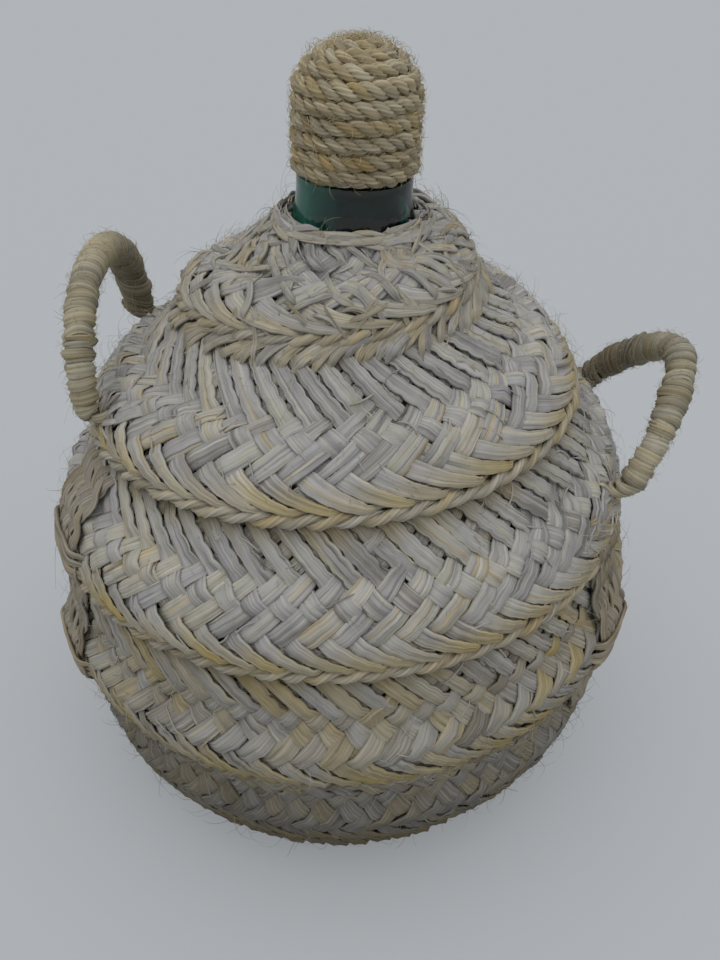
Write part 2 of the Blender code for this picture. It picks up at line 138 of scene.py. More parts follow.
def corner_places(rings):
    """How far round (0 to 1) and along (in metres) each corner of the side faces is, and the length."""
    m, k = rings.shape[:2]
    step = np.linalg.norm(np.diff(rings.mean(axis=1), axis=0), axis=1)
    at = np.concatenate([[0.0], np.cumsum(step)])
    u = np.linspace(0, 1, k + 1)
    around = np.stack([u[:-1], u[1:], u[1:], u[:-1]], -1)[None].repeat(m - 1, 0).reshape(-1, 4)
    along = np.stack([at[:-1], at[:-1], at[1:], at[1:]], -1)[:, None].repeat(k, 1).reshape(-1, 4)
    return around, along, at[-1]


def both_layouts(around, along, length, width, slide, cell, size):
    """Places on a tube in the fibre layout, and in the tube's cell of the sheet."""
    fibre = np.stack([around * width * layout_spread + slide[0], along + slide[1]], -1)
    sheet = np.stack([around, along / length], -1) * size + cell + size * cell_edge
    return fibre.reshape(-1, 2), sheet.reshape(-1, 2)


print("the square tube is", corner_places(square_tube)[2], "m long")

# %% [markdown]
# ## One mesh from many strands
#
# A cover of some thousand strands could be an object for each, but that is slow to draw and to
# export. So all strands of a piece go into one mesh, written from whole arrays. Each point also gets
# four marks, which the material reads: the tint of its leaf, how deep it lies in a groove, which is
# darkened there as painted shade, how golden it has stayed, and how much dirt and painted shade it
# holds. Nothing goes lower than the floor.

# %% A mesh from many closed tubes
rng = np.random.default_rng(7)
just_above_floor = 0.0002


def write_mesh(name, points, corners, lengths, layouts, marks):
    """A mesh from flat arrays: points, the corners of faces of these lengths, layouts and marks."""
    mesh = bpy.data.meshes.new(name)
    mesh.vertices.add(len(points))
    mesh.vertices.foreach_set("co", points.astype(np.float32).reshape(-1))
    mesh.loops.add(len(corners))
    mesh.loops.foreach_set("vertex_index", corners.astype(np.int32))
    mesh.polygons.add(len(lengths))
    mesh.polygons.foreach_set("loop_start", np.concatenate([[0], np.cumsum(lengths)[:-1]]).astype(np.int32))
    for label, layout in layouts:
        mesh.uv_layers.new(name=label).uv.foreach_set("vector", layout.astype(np.float32).reshape(-1))
    shade = mesh.color_attributes.new("leaf", "FLOAT_COLOR", "POINT")
    shade.data.foreach_set("color", marks.astype(np.float32).reshape(-1))
    mesh.update(calc_edges=True)
    return mesh


def tubes_mesh(name, tubes, marks, widths, material, body, replaced=()):
    """One piece from tubes of (rings, points round, 3) and their marks of (rings, points round, 4)."""
    corners, lengths, fibre, sheet = [], [], [], []
    columns = int(np.ceil(len(tubes) / np.ceil(np.sqrt(len(tubes) / 3.0))))
    rows = int(np.ceil(len(tubes) / columns))
    size = np.array(cell_used) / (columns, rows)
    base = 0
    for index, (rings, width) in enumerate(zip(tubes, widths)):
        sides, first, last, inside_out = tube_faces(rings, base)
        m, k = rings.shape[:2]
        around, along, length = corner_places(rings)
        if inside_out:
            sides, around, along = sides[:, ::-1], around[:, ::-1], along[:, ::-1]
            first, last = first[::-1], last[::-1]
        slide = rng.uniform(0, 5, 2)
        cell = np.array([index % columns, index // columns]) / (columns, rows)
        for there, far in ((around, along), ((first - base) % k / k, np.zeros(k)),
                           ((last - base) % k / k, np.full(k, length))):
            laid, spread = both_layouts(there, far, length, width, slide, cell, size)
            fibre.append(laid)
            sheet.append(spread)
        corners += [sides.reshape(-1), first, last]
        lengths += [np.full(len(sides), 4), (k, k)]
        base += m * k
    points = np.concatenate([np.maximum(t, (-1.0, -1.0, just_above_floor)).reshape(-1, 3) for t in tubes])
    mesh = write_mesh(name, points, np.concatenate(corners), np.concatenate(lengths),
                      (("OFBake", np.concatenate(sheet)), ("fibre", np.concatenate(fibre))),
                      np.concatenate([mark.reshape(-1, 4) for mark in marks]))
    return add_piece(name, mesh, material, body, replaced)


print("strands are written in one mesh a piece, not lower than", just_above_floor * 1000, "mm")

# %% [markdown]
# ## Dry esparto: marks and patterns
#
# Esparto is a tough grass. Its leaves dry into rolled, ribbed straws 1 to 2 mm wide. A photograph
# wrapped on them would smear where they cross, so all patterns are worked out by nodes. Streaks
# run along every leaf: about 0.3 mm wide on the real one, and drawn 0.5 mm wide here, to show at
# this size. Patches about 25 mm wide say how far the weather has got from place to place.

# %% Marks and patterns of a leaf
patches_per_metre = 38.0


def leaf_patterns(tree, streak_width, streak_length):
    """The four marks of the strands, streaks along the leaf, and patches of weather."""
    leaf = add_node(tree, "ShaderNodeAttribute", attribute_name="leaf")
    marks = add_node(tree, "ShaderNodeSeparateColor", {"Color": leaf.outputs["Color"]})
    fibre = add_node(tree, "ShaderNodeUVMap", uv_map="fibre")
    lay = add_node(tree, "ShaderNodeMapping", {
        "Vector": fibre.outputs["UV"], "Scale": (1 / streak_width, 1 / streak_length, 1.0)})
    streaks = add_node(tree, "ShaderNodeTexNoise", {
        "Vector": lay.outputs["Vector"], "Scale": 0.5, "Detail": 3.0, "Roughness": 0.6})
    place = add_node(tree, "ShaderNodeTexCoord")
    patches = add_node(tree, "ShaderNodeTexNoise", {
        "Vector": place.outputs["Object"], "Scale": patches_per_metre, "Detail": 3.0, "Roughness": 0.55})
    return {"tint": marks.outputs["Red"], "groove_shade": marks.outputs["Green"], "gold": marks.outputs["Blue"],
            "dirt_and_shade": leaf.outputs["Alpha"], "streaks": streaks.outputs["Fac"],
            "patches": patches.outputs["Fac"]}


print("patches of weather are about", round(1000 / patches_per_metre), "mm wide")

# %% [markdown]
# ## Dry esparto: tint, gold, dirt and painted shade
#
# Out of the light esparto stays golden, and in the weather it goes silver grey, each leaf at its own
# pace. A noise alone would stain the cover as if it were one sheet. So the tint comes from the leaf's
# own mark, through a ramp of real leaf colours, and the gold comes from marks too, as do the dirt and
# the painted shade that darken the grooves and the shaded places.

# %% The colour of a leaf
def leaf_tint(tree, leaf, ramp):
    """A colour of the ramp for each leaf, shifted a little along its length."""
    drift = add_node(tree, "ShaderNodeMath", {0: leaf["patches"], 1: 0.5, 2: -0.25}, operation="MULTIPLY_ADD")
    tint = add_node(tree, "ShaderNodeMath", {0: leaf["tint"], 1: drift.outputs["Value"]}, operation="ADD")
    tints = add_node(tree, "ShaderNodeValToRGB", {"Fac": tint.outputs["Value"]})
    for element, (position, colour) in zip(tints.color_ramp.elements, (ramp[0], ramp[-1])):
        element.position, element.color = position, linear(colour)
    for position, colour in ramp[1:-1]:
        tints.color_ramp.elements.new(position).color = linear(colour)
    return tints.outputs["Color"]


def leaf_colour(tree, leaf, ramp, gold, dirt_and_shade, age, groove_shade):
    """The tint, then gold where weather has not reached, worn light ribs, and dirt with painted shade."""
    patchy = add_node(tree, "ShaderNodeMapRange", {
        "Value": leaf["patches"], "From Min": 0.35, "From Max": 0.65, "To Min": age * 0.4, "To Max": age})
    kept = add_node(tree, "ShaderNodeMath", {
        0: leaf["gold"], 1: patchy.outputs["Result"]}, operation="ADD", use_clamp=True)
    golden = add_node(tree, "ShaderNodeMix", {
        "Factor": kept.outputs["Value"], "A": leaf_tint(tree, leaf, ramp),
        "B": linear(gold)}, data_type="RGBA")
    shade = add_node(tree, "ShaderNodeMapRange", {
        "Value": leaf["streaks"], "From Min": 0.30, "From Max": 0.72, "To Min": 0.72, "To Max": 1.12})
    streaked = add_node(tree, "ShaderNodeVectorMath", {
        0: golden.outputs["Result"], "Scale": shade.outputs["Result"]}, operation="SCALE")
    # Painted shade: the grooves between leaves, and the mark of dirt and painted shade, go towards this dark
    # colour
    deep = add_node(tree, "ShaderNodeMath", {
        0: leaf["groove_shade"], 1: groove_shade, 2: leaf["dirt_and_shade"]}, operation="MULTIPLY_ADD", use_clamp=True)
    return add_node(tree, "ShaderNodeMix", {
        "Factor": deep.outputs["Value"], "A": streaked.outputs["Vector"],
        "B": linear(dirt_and_shade)}, data_type="RGBA")


print("a fresh leaf is", [round(v, 2) for v in linear("#b6a46e")[:3]], "in linear light")

# %% [markdown]
# ## Dry esparto: the finish
#
# A dried leaf is matt and a little waxy, with an IOR near 1.45. Its worn ribs are smoother than the
# pith between them, so the roughness follows the streaks, from 0.62 to 0.86, and a bump of 0.4 mm
# lets each streak catch the light. One recipe serves every esparto finish here, and the first is the
# plait's own: silver grey leaves with some gold.

# %% The esparto material
leaf_ior = 1.45


def esparto(name, ramp, gold, dirt_and_shade, streak_width=0.0005, streak_length=0.014, age=0.0, groove_shade=0.34):
    """Dry leaves: a ramp of tints from leaf to leaf, the colour of fresh gold, and of dirt and painted shade.
    """
    material = bpy.data.materials.new(name)
    material.use_nodes = True
    tree = material.node_tree
    shader = tree.nodes["Principled BSDF"]
    leaf = leaf_patterns(tree, streak_width, streak_length)
    colour = leaf_colour(tree, leaf, ramp, gold, dirt_and_shade, age, groove_shade)
    rough = add_node(tree, "ShaderNodeMapRange", {
        "Value": leaf["streaks"], "From Min": 0.3, "From Max": 0.7, "To Min": 0.86, "To Max": 0.62})
    relief = add_node(tree, "ShaderNodeBump", {
        "Height": leaf["streaks"], "Distance": 0.0004, "Strength": 0.7})
    for socket, result in (("Base Color", colour.outputs["Result"]), ("Roughness", rough.outputs["Result"]),
                           ("Normal", relief.outputs["Normal"])):
        tree.links.new(result, shader.inputs[socket])
    shader.inputs["IOR"].default_value = leaf_ior
    shader.inputs["Specular IOR Level"].default_value = 0.35
    print("material", name, "with", len(tree.nodes), "nodes")
    return material


weathered_leaves = esparto(
    "weathered_esparto_leaves",
    ((0.0, "#85827e"), (0.18, "#9c9b9e"), (0.33, "#acabac"), (0.45, "#b4b4b4"), (0.56, "#b5b5aa"),
     (0.68, "#c0bab1"), (0.82, "#c1b596"), (1.0, "#a2917a")),
    gold="#b6a46e", dirt_and_shade="#45413a", age=0.08, groove_shade=0.19)

# %% [markdown]
# ## The outline of the bottle
#
# The strands have to lie on the bottle. They could be pressed onto its mesh with a modifier, but a
# strand is easier to steer by two numbers: how far round it is, and how far up the glass, measured
# along the glass itself from the edge of its flat base. So the lesson needs the same outline that
# the solids have: a smooth run through 14 places, given as shares of the bottle's own sizes.

# %% The outline of the glass
fit_gap = 0.0007
lap_gap = 0.0006
base_thickness = 0.0070
glass_radius = 0.1470
neck_radius = 0.0270
glass_body_height = 0.3252
glass_bottom = base_thickness + fit_gap
mouth_height = glass_bottom + glass_body_height + 0.0080
bottle_height_shares = (
    0.0, 0.016, 0.068, 0.145, 0.268, 0.360, 0.422, 0.560, 0.682, 0.801, 0.889, 0.928, 0.963, 1.0)
bottle_radius_shares = (
    0.510, 0.680, 0.815, 0.913, 0.985, 1.0, 0.990, 0.903, 0.745, 0.465, 0.208, 0.088, 0.018, 0.0)


def through_points(points, steps=24):
    """A smooth run through every point, whose direction at each comes from its neighbours."""
    chord = np.linalg.norm(np.diff(points, axis=0), axis=1)
    at = np.concatenate([[0.0], np.cumsum(chord)])
    slope = np.gradient(points, at, axis=0)
    t = np.linspace(0, 1, steps, endpoint=False)[:, None]
    run = [
        (2 * t**3 - 3 * t**2 + 1) * points[i] + (t**3 - 2 * t**2 + t) * chord[i] * slope[i]
        + (3 * t**2 - 2 * t**3) * points[i + 1] + (t**3 - t**2) * chord[i] * slope[i + 1]
        for i in range(len(chord))
    ]
    return np.vstack(run + [points[-1:]])


glass_run = through_points(np.column_stack([
    neck_radius + (glass_radius - neck_radius) * np.array(bottle_radius_shares),
    glass_bottom + glass_body_height * np.array(bottle_height_shares)]))
glass_places = np.concatenate([[0.0], np.cumsum(np.linalg.norm(np.diff(glass_run, axis=0), axis=1))])
glass_length = glass_places[-1]


def off_glass(place, distance):
    """Radius and height at a distance out from the glass, for whole arrays of places."""
    step = glass_length / len(glass_places)
    place = np.clip(place, step, glass_length - step)
    at, ahead, behind = [
        np.stack([np.interp(place + shift, glass_places, glass_run[:, i]) for i in (0, 1)])
        for shift in (0.0, step, -step)
    ]
    way = (ahead - behind) / np.linalg.norm(ahead - behind, axis=0)
    return at[0] + way[1] * distance, at[1] - way[0] * distance


def smoothstep(x):
    """From 0 to 1 with a soft start and a soft end."""
    x = np.clip(x, 0.0, 1.0)
    return x * x * (3 - 2 * x)


print(f"the glass is {glass_length * 1000:.0f} mm from base to neck, measured over its side")

# %% [markdown]
# ## The course of the plait
#
# The real cover is one long band, sewn to itself as it climbs, and not a stack of hoops. Its lower
# edge climbs about 66 mm of glass in each turn, and each turn stands off where it laps the one
# below. A table of eight places, eased between them, is enough, and everything that is sewn to the
# cover asks it where the plait lies.

# %% The course of the plait
plait_width = 0.0920
start_width = 0.0300
plait_thickness = 0.0060
narrowest_end = 0.0100
base_rim_place = 0.0967 * glass_length
cover_top = 0.9693 * glass_length
course_turns = (1.25, 2.25, 2.75, 3.75, 4.75, 5.75, 6.75, 7.75)
course_places = glass_length * np.array((0.0763, 0.1272, 0.1577, 0.3180, 0.4859, 0.6538, 0.8497, 1.0049))
plait_start = course_turns[0]


def lower_edge(turns):
    """The plait's lower edge climbs as it goes round, and its changes of climb are eased."""
    nearby = np.linspace(-0.25, 0.25, 9)
    return np.mean([np.interp(turns + s, course_turns, course_places) for s in nearby], axis=0)


def upper_edge(turns):
    """It starts narrow and reaches its width in two turns. At the neck it ends at the cover's top."""
    width = start_width + (plait_width - start_width) * np.clip((turns - plait_start) / 2.0, 0.0, 1.0)
    return np.minimum(lower_edge(turns) + width, cover_top)


tries = np.linspace(plait_start, course_turns[-1], 4000)
plait_end = tries[upper_edge(tries) - lower_edge(tries) > narrowest_end][-1]


def plait_lift(turns, place):
    """How far the plait stands off to clear what it laps."""
    first = turns < plait_start + 1
    under = np.where(first, base_rim_place, upper_edge(turns - 1))
    thickness = np.where(first, base_thickness, plait_thickness)
    return (thickness + lap_gap) * smoothstep((under + 0.0120 - place) / 0.0100)


def on_plait(turns, place, height):
    """Points on the plait, at a height over the middle of its thickness."""
    distance = fit_gap + plait_lift(turns, place) + plait_thickness / 2 + height
    radius, z = off_glass(place, distance)
    return np.stack([radius * np.cos(turn * turns), radius * np.sin(turn * turns), z], -1)


print(f"the plait starts after {plait_start} turns and ends after {plait_end:.2f}")

# %% [markdown]
# ## The weave
#
# The plait is made like a flat braid: strands slant down to the right, fold under the lower edge,
# and come back up to the right. All strands cross alike, so which one lies on top depends only on
# how far up the band the crossing is. Down-going strands lie on top at the lip, where they sweep
# along the edge, and again in long floats under the next lap. Between them the up-going ones
# come out in a row of slanted blocks, and then single crossings leave small dark holes.

# %% Rows of crossings
strand_pitch = 0.0125
row_height = 0.0063
lip_places = (0.0, 0.0024, 0.0056, 0.0100, 0.0154, 0.0214)
row_places = np.concatenate([lip_places, lip_places[-1] + row_height * np.arange(1, 14)])
down_on_top = np.array([c == "d" for c in "dddduududdddduudduu"])
plait_middle = 0.035

fine_turns = np.linspace(plait_start, plait_end, 3000)
middle_radius = off_glass(lower_edge(fine_turns) + plait_middle, 0.005)[0]
fine_steps = np.diff(fine_turns) * turn * (middle_radius[1:] + middle_radius[:-1]) / 2
fine_run = np.concatenate([[0.0], np.cumsum(fine_steps)])


def seen_width(turns):
    """How much of the plait's width shows, and a little more that the next turn covers."""
    covered = lower_edge(turns + 1) - lower_edge(turns) + 0.008
    return np.where(turns + 1 < plait_end, np.minimum(covered, upper_edge(turns) - lower_edge(turns)),
                    upper_edge(turns) - lower_edge(turns))


print(f"the plait is {fine_run[-1]:.1f} m long and {len(down_on_top)} crossings wide")

# %% [markdown]
# ## Light and shade on the cover
#
# The real cover isn't the same colour all over. It has kept more gold and some dirt low down, in
# patches a hand wide, and most of all on one side. Low down, where the body shades itself, the
# leaves are also darkened as painted shade, most of all at the foot. A noise in the material could
# do it, but here the strands have to know it too, because whole leaves change and not spots on them.
# So these are plain functions of the place, made of a few long waves.

# %% Shaded and sheltered places
patch_waves = rng.normal(0, 1.0, (9, 2)) * (2.5, 26.0)
patch_starts = rng.uniform(0, turn, 9)
golden_side = 0.68


def low_down(z):
    """From 1 at the foot of the body to 0 above its widest part: more gold, dirt and painted shade."""
    return 1 - smoothstep((z - 0.120) / 0.075)


def foot_grime_and_shade(z):
    """Dirt and painted shade where the body turns in towards the floor."""
    return 0.48 * (1 - smoothstep((z - 0.055) / 0.060))


def patches_of_shelter(turns, place):
    """Patches a hand wide, from 0 to 1, where the cover has kept more of its gold. One side kept most."""
    waves = sum(np.sin(np.round(a) * turn * turns + b * place + c)
                for (a, b), c in zip(patch_waves, patch_starts))
    return smoothstep((waves + 2.2 * np.cos(turn * (turns - golden_side))) / 4.5 + 0.35)


shades = [round(float(low_down(z)), 2) for z in (0.0, 0.15, 0.3)]
print("shade at the foot, the widest part and the neck:", shades)

# %% [markdown]
# ## A bundle of leaves
#
# A strand of the plait is about six leaves laid side by side, so its cross-section is a low arch
# with a rib for each leaf. It could be a flat strip with a bump, but the ribs show in the outline
# and in the shadows, so they are shape. Each leaf has a tint of its own, and its edges wander,
# because no leaf is straight. Most tints lie near the middle of the ramp, and a few are odd.

# %% Leaves in a bundle
leaf_count = 6


def wander(length, size, count=3):
    """A smooth random line, as a hand-laid leaf has."""
    waves = rng.uniform(0.5, 2.5, count)[:, None] * np.linspace(0, turn, length)[None, :]
    return size * np.sin(waves + rng.uniform(0, turn, count)[:, None]).mean(axis=0) * 1.6


def leaf_tints(leaves):
    """Most leaves are near the middle of the ramp. A few are golden, brown or dark."""
    tints = rng.normal(0.42, 0.15, leaves)
    odd = rng.random(leaves)
    tints[odd < 0.14] += rng.uniform(0.22, 0.45)
    tints[odd > 0.88] -= rng.uniform(0.20, 0.40)
    return tints


def ribbed_section(length, width, thickness, rib=0.00020, leaves=leaf_count):
    """Offsets across and up for rings of a ribbed bundle, and the marks of its leaves."""
    bounds = np.linspace(-1, 1, leaves + 1)
    bounds[1:-1] += rng.uniform(-0.40, 0.40, leaves - 1) / leaves
    across = np.empty(2 * leaves + 1)
    across[0::2], across[1::2] = bounds, (bounds[1:] + bounds[:-1]) / 2
    is_crest = np.arange(len(across)) % 2 == 1
    shift = np.array([wander(length, 0.11) for _ in across]).T
    shift[:, 0] = shift[:, -1] = 0.0
    lift = np.zeros(len(across))
    lift[1::2] = rib * rng.uniform(0.3, 1.6, leaves)
    y = (thickness / 2 * (1 - 0.55 * across**2))[None, :] + np.where(is_crest, lift, -rib)[None, :]
    y = y + np.where(is_crest[None, :], np.array([wander(length, rib) for _ in across]).T, 0.0)
    y[:, 0] = y[:, -1] = -thickness * 0.05

    # Two points below close the bundle with a flat back
    back = np.repeat([(0.55, -0.55)], length, axis=0)
    x = np.concatenate([across[None, :] + shift, back], axis=1)
    y = np.concatenate([y, np.full((length, 2), -thickness / 2)], axis=1)
    tints = leaf_tints(leaves)
    tint, groove_shade = np.full(x.shape[1], tints.mean()), np.ones(x.shape[1])
    tint[1:2 * leaves:2], groove_shade[1:2 * leaves:2] = tints, 0.0
    return x * width[:, None] / 2, y, tint, groove_shade


print("a strand is", strand_pitch * 1000, "mm wide with", leaf_count, "leaves")

# %% [markdown]
# ## Where a strand runs, over and under
#
# A strand crosses the band on a slant, half a pitch for each row. It could be woven by simulation,
# but a plait is a rule: at each row the strand is over or under, and between rows it eases from one
# side to the other. A maker's slips are part of the look, so one strand in eight misses a crossing.
# At its first row a strand comes out from under the base, which is why it starts sunk.

# %% The course and the height of a strand
over_height = 0.0013
missed_crossings = 0.12
start_sink = 0.0052
fewest_steps = 6


def strand_course(index, down):
    """Rows, run, turns and places of one pass of a strand, and how far it is from the plait's start."""
    rows = np.arange(-1.0 if down else 0, len(row_places) - 1 + 1e-6, 1 / 3)
    sway = wander(len(rows), 0.09)
    run = strand_pitch * (index + (-rows if down else rows) / 2 + sway)
    turns = np.interp(run, fine_run, fine_turns)
    place = np.interp(rows, np.arange(len(row_places)), row_places)
    from_start = run - 1.4 * (start_width - place)
    inside = (run > 0) & (from_start > 0) & (run < fine_run[-1])
    inside &= place < seen_width(turns) - (0.0 if down else 0.0004)
    wanted = np.nonzero(inside)[0]
    if len(wanted) < fewest_steps:
        return None
    first = wanted[0]
    last = first + int(np.argmin(np.append(inside[first:], False)))
    if last - first < fewest_steps:
        return None
    return [v[first:last] for v in (rows, run, turns, place, from_start)]


def over_and_under(rows, place, from_start, down):
    """From -1 under to 1 over, and the height that this gives."""
    on_top = down_on_top if down else ~down_on_top
    low_row = np.clip(np.floor(rows).astype(int), 0, len(on_top) - 2)
    share = smoothstep(rows - low_row)
    sides = np.where(on_top, 1.0, -1.0)
    if rng.random() < missed_crossings:
        sides[rng.integers(8, 15)] *= -1
    level = sides[low_row] * (1 - share) + sides[low_row + 1] * share
    height = over_height * level
    height += 0.00030 * np.cos(turn * rows) * (level > 0.9)
    height += 0.00055 * smoothstep(1 - place / 0.016) if down else 0.0
    height += rng.normal(0, 0.00020) + wander(len(rows), 0.00015)
    height -= start_sink * (1 - smoothstep(from_start / 0.020))
    return level, height


print("strands go over and under by", over_height * 1000, "mm")

# %% [markdown]
# ## How wide a strand lies
#
# All strands of the plait are the same leaves, but where the cover gets narrower they are pushed
# together, and along the lip they lie at a shallow angle, so they look wider or thinner. The width
# therefore comes from the course: it is what fills the pitch. Where a crossing is loose, the strand
# draws in as it dives, and the small dark holes of the real plait open by themselves.

# %% The section of a strand
strand_thickness = 0.0024
narrowest_strand = 0.0032


def strand_section(rows, run, turns, place, down):
    """Offsets across and up, marks of the leaves, the width, and how far across leads round and up."""
    way_run, way_place = np.gradient(run), np.gradient(place)
    middle_there = off_glass(lower_edge(turns) + plait_middle, 0.005)[0]
    squeeze = off_glass(lower_edge(turns) + place, 0.004)[0] / middle_there
    length = np.hypot(way_run * squeeze, way_place)
    width = np.maximum(strand_pitch * np.abs(way_place) / length * squeeze, narrowest_strand)
    loose = smoothstep((rows - 6) / 2) * smoothstep((15 - rows) / 2)
    width = width * rng.uniform(0.95, 1.10) * (1 - 0.25 * loose * (0.6 + 0.4 * np.cos(turn * rows)))
    thickness = strand_thickness * rng.uniform(0.9, 1.2)
    x, y, tint, groove_shade = ribbed_section(len(rows), width, thickness)
    tilt = rng.normal(0.0, 0.06) + (0.20 * smoothstep(1 - place / 0.02) if down else 0.0)
    y = y + x * np.broadcast_to(tilt, len(rows))[:, None]
    round_it, up_it = way_place / length / squeeze, -way_run * squeeze / length
    return x, y, tint, groove_shade, width, round_it[:, None], up_it[:, None]


print("strands are", strand_thickness * 1000, "mm thick and at least", narrowest_strand * 1000, "mm wide")

# %% [markdown]
# ## Gold, dirt and painted shade of a strand
#
# Where the next lap covers a strand it has stayed golden, and it is darkened there as painted shade.
# The turned edge is golden too, because the leaves were folded there with their fresh side out. In
# shaded and sheltered places each strand has kept its own amount, since the leaves came from
# different sheaves.

# %% The marks of a strand
least_gold = 0.12
gold_spread = 1.35


def strand_marks(rings, at_turns, at_place, tint, groove_shade, level, gold, under_lap):
    """Tint, groove shade, gold, and dirt with painted shade for every point of a strand."""
    marks = np.zeros(rings.shape[:2] + (4,))
    marks[..., 0] = tint[None, :] + rng.normal(0, 0.09)
    marks[..., 1] = groove_shade[None, :]
    shaded = low_down(rings[..., 2])
    sheltered = patches_of_shelter(at_turns, at_place) * (0.06 + 0.94 * shaded)
    kept_gold = least_gold + gold_spread * rng.random() ** 1.5
    marks[..., 2] = (gold * rng.uniform(0.25, 1.0))[:, None] + (0.36 * shaded + 0.66 * sheltered) * kept_gold
    # Painted shade under the next lap and under each crossing, and lower down dirt with painted shade
    marks[..., 3] = (0.44 * under_lap + 0.08 * (level < 0))[:, None] + 0.18 * shaded + 0.12 * sheltered
    # Dirt and painted shade at the foot of the body
    marks[..., 3] += foot_grime_and_shade(rings[..., 2])
    return marks


print(f"a sheltered strand keeps from {least_gold} to {least_gold + gold_spread:.2f} shares of gold")

# %% [markdown]
# ## One strand
#
# At the lip a strand doesn't end. It turns round the edge and goes back up behind, which gives the
# cover its corded edge. At the neck it closes down into the rim. Each pass of a strand is one tube,
# so every crossing can be seen in the shape, and the two passes meet inside the fold.

# %% One pass of a strand
fold_sink = 0.0042
rim_sink = 0.0036
rim_reach = 0.0090


def strand(index, down):
    """Rings of points and their marks, for a strand that goes down to the lip or comes up from it."""
    course = strand_course(index, down)
    if course is None:
        return None
    rows, run, turns, place, from_start = course
    level, height = over_and_under(rows, place, from_start, down)
    x, y, tint, groove_shade, width, leads_round, leads_up = strand_section(rows, run, turns, place, down)

    # At the lip it turns under the edge, at the neck it closes down into the rim
    fold = np.maximum(-rows, 0.0)
    place = place + 0.0030 * fold**2 - 0.0016 * fold
    height = height - fold_sink * smoothstep(fold * 1.1) - 0.0006 * smoothstep(1 - place / 0.003)
    at_top = smoothstep((lower_edge(turns) + place - cover_top + rim_reach) / rim_reach)
    height = height - rim_sink * at_top**2
    at_turns = np.interp(run[:, None] + x * leads_round, fine_run, fine_turns)
    at_place = lower_edge(at_turns) + place[:, None] + x * leads_up
    rings = on_plait(at_turns, at_place, height[:, None] + y)

    # Gold along the lip and under the next lap, less of it high up in the weather
    under_lap = smoothstep((place - seen_width(turns) + 0.026) / 0.014)
    under_lap = under_lap * (1 - at_top) * (turns + 1 < plait_end)
    gold = 0.82 * smoothstep(1 - place / 0.012) * down + 0.80 * under_lap
    gold = gold * (1 - 0.55 * smoothstep((rings[:, 0, 2] - 0.270) / 0.030))
    marks = strand_marks(rings, at_turns, at_place, tint, groove_shade, level, gold, under_lap)
    return rings, marks, width.mean(), turns.mean()


print(f"a strand can cross {len(row_places)} rows, up to {row_places[-1] * 1000:.0f} mm from the lip")

# %% [markdown]
# ## Every strand
#
# All strands together could be one mesh. They are one piece for each turn of the plait instead, so
# that a turn can be looked at by itself, and so that no mesh gets too heavy to export whole.

# %% Every strand, one piece for each turn of the plait
strands = []
for index in range(-4, int(fine_run[-1] / strand_pitch) + 20):
    for down in (True, False):
        made = strand(index, down)
        if made:
            strands.append(made)
print(len(strands), "passes of strands")
for course in range(1, 8):
    members = [s for s in strands if int(s[3] - 0.25) == course]
    if members:
        tubes_mesh(f"plait_turn_{course}", [s[0] for s in members], [s[1] for s in members],
                   [s[2] for s in members], weathered_leaves, "vessel", ("plait_cover",))

# %% [markdown]
# ## The dark backing of the plait
#
# Where a crossing is loose, the eye looks through the weave into the dark between plait and glass.
# Black paint on the glass would show at the neck. A thin lining of crushed leaves, on the inner side
# of the plait, closes the weave instead, as the broken leaves inside a real plait do. Its colour is
# painted shade, far darker than the leaves.

# %% The lining
# Painted shade: leaves coloured as if they lay in shadow
painted_shade_lining_leaves = esparto(
    "crushed_leaves_in_shadow", ((0.0, "#3a3226"), (0.5, "#4a4030"), (1.0, "#5a4c36")),
    gold="#5e4c30", dirt_and_shade="#231d15")
lining_inset = 0.0030
lining_faces = (-0.0022, -0.0029)


def lining():
    """A band inside the plait, just narrower than what shows of it."""
    turns = np.arange(plait_start, plait_end, 1 / 96)
    low = lower_edge(turns)[:, None] + lining_inset
    wide = np.maximum(seen_width(turns)[:, None] - 2 * lining_inset, 0.0040)
    shares = np.array([0.0, 0.1, 0.2, 0.35, 0.5, 0.65, 0.8, 0.9, 1.0])
    places = low + wide * np.concatenate([shares, shares[::-1]])[None, :]
    heights = np.repeat(lining_faces, len(shares))[None, :]
    rings = on_plait(turns[:, None] + 0 * places, places, heights + 0 * places)
    marks = np.full(rings.shape[:2] + (4,), 0.5)
    tubes_mesh("plait_lining", [rings], [marks], [0.09], painted_shade_lining_leaves, "vessel", ("plait_cover",))


lining()

# %% [markdown]
# ## A ply
#
# An esparto cord is two or three plies twisted together, and each ply is a round bundle of leaves,
# with a groove between them. It could be a smooth tube with a twisted pattern, but the slanted lumps
# of a cord are what the eye reads, and they have to stand out at its edge. So each ply is a tube of
# its own. Its rings are carried along the path without twist, and its leaves turn by a rule.

# %% The section and the sweep of a ply
def unit(v):
    """Ways made one metre long."""
    return v / np.linalg.norm(v, axis=-1, keepdims=True)


def round_section(at, radius, leaves, spin, rib=0.00030):
    """Offsets across and up for rings of a ribbed round ply, whose leaves turn as it goes."""
    length = len(at)
    angles = turn * np.arange(2 * leaves) / (2 * leaves)
    is_crest = np.arange(2 * leaves) % 2 == 0
    radii = radius[:, None] + np.where(is_crest, rib, -rib)[None, :]
    radii = radii + np.array([wander(length, rib, 6) for _ in angles]).T
    tints = leaf_tints(leaves)
    tint = np.full(2 * leaves, tints.mean())
    tint[0::2] = tints
    angles = angles[None, :] + (spin * at)[:, None]
    return radii * np.cos(angles), radii * np.sin(angles), tint, np.where(is_crest, 0.0, 1.0)


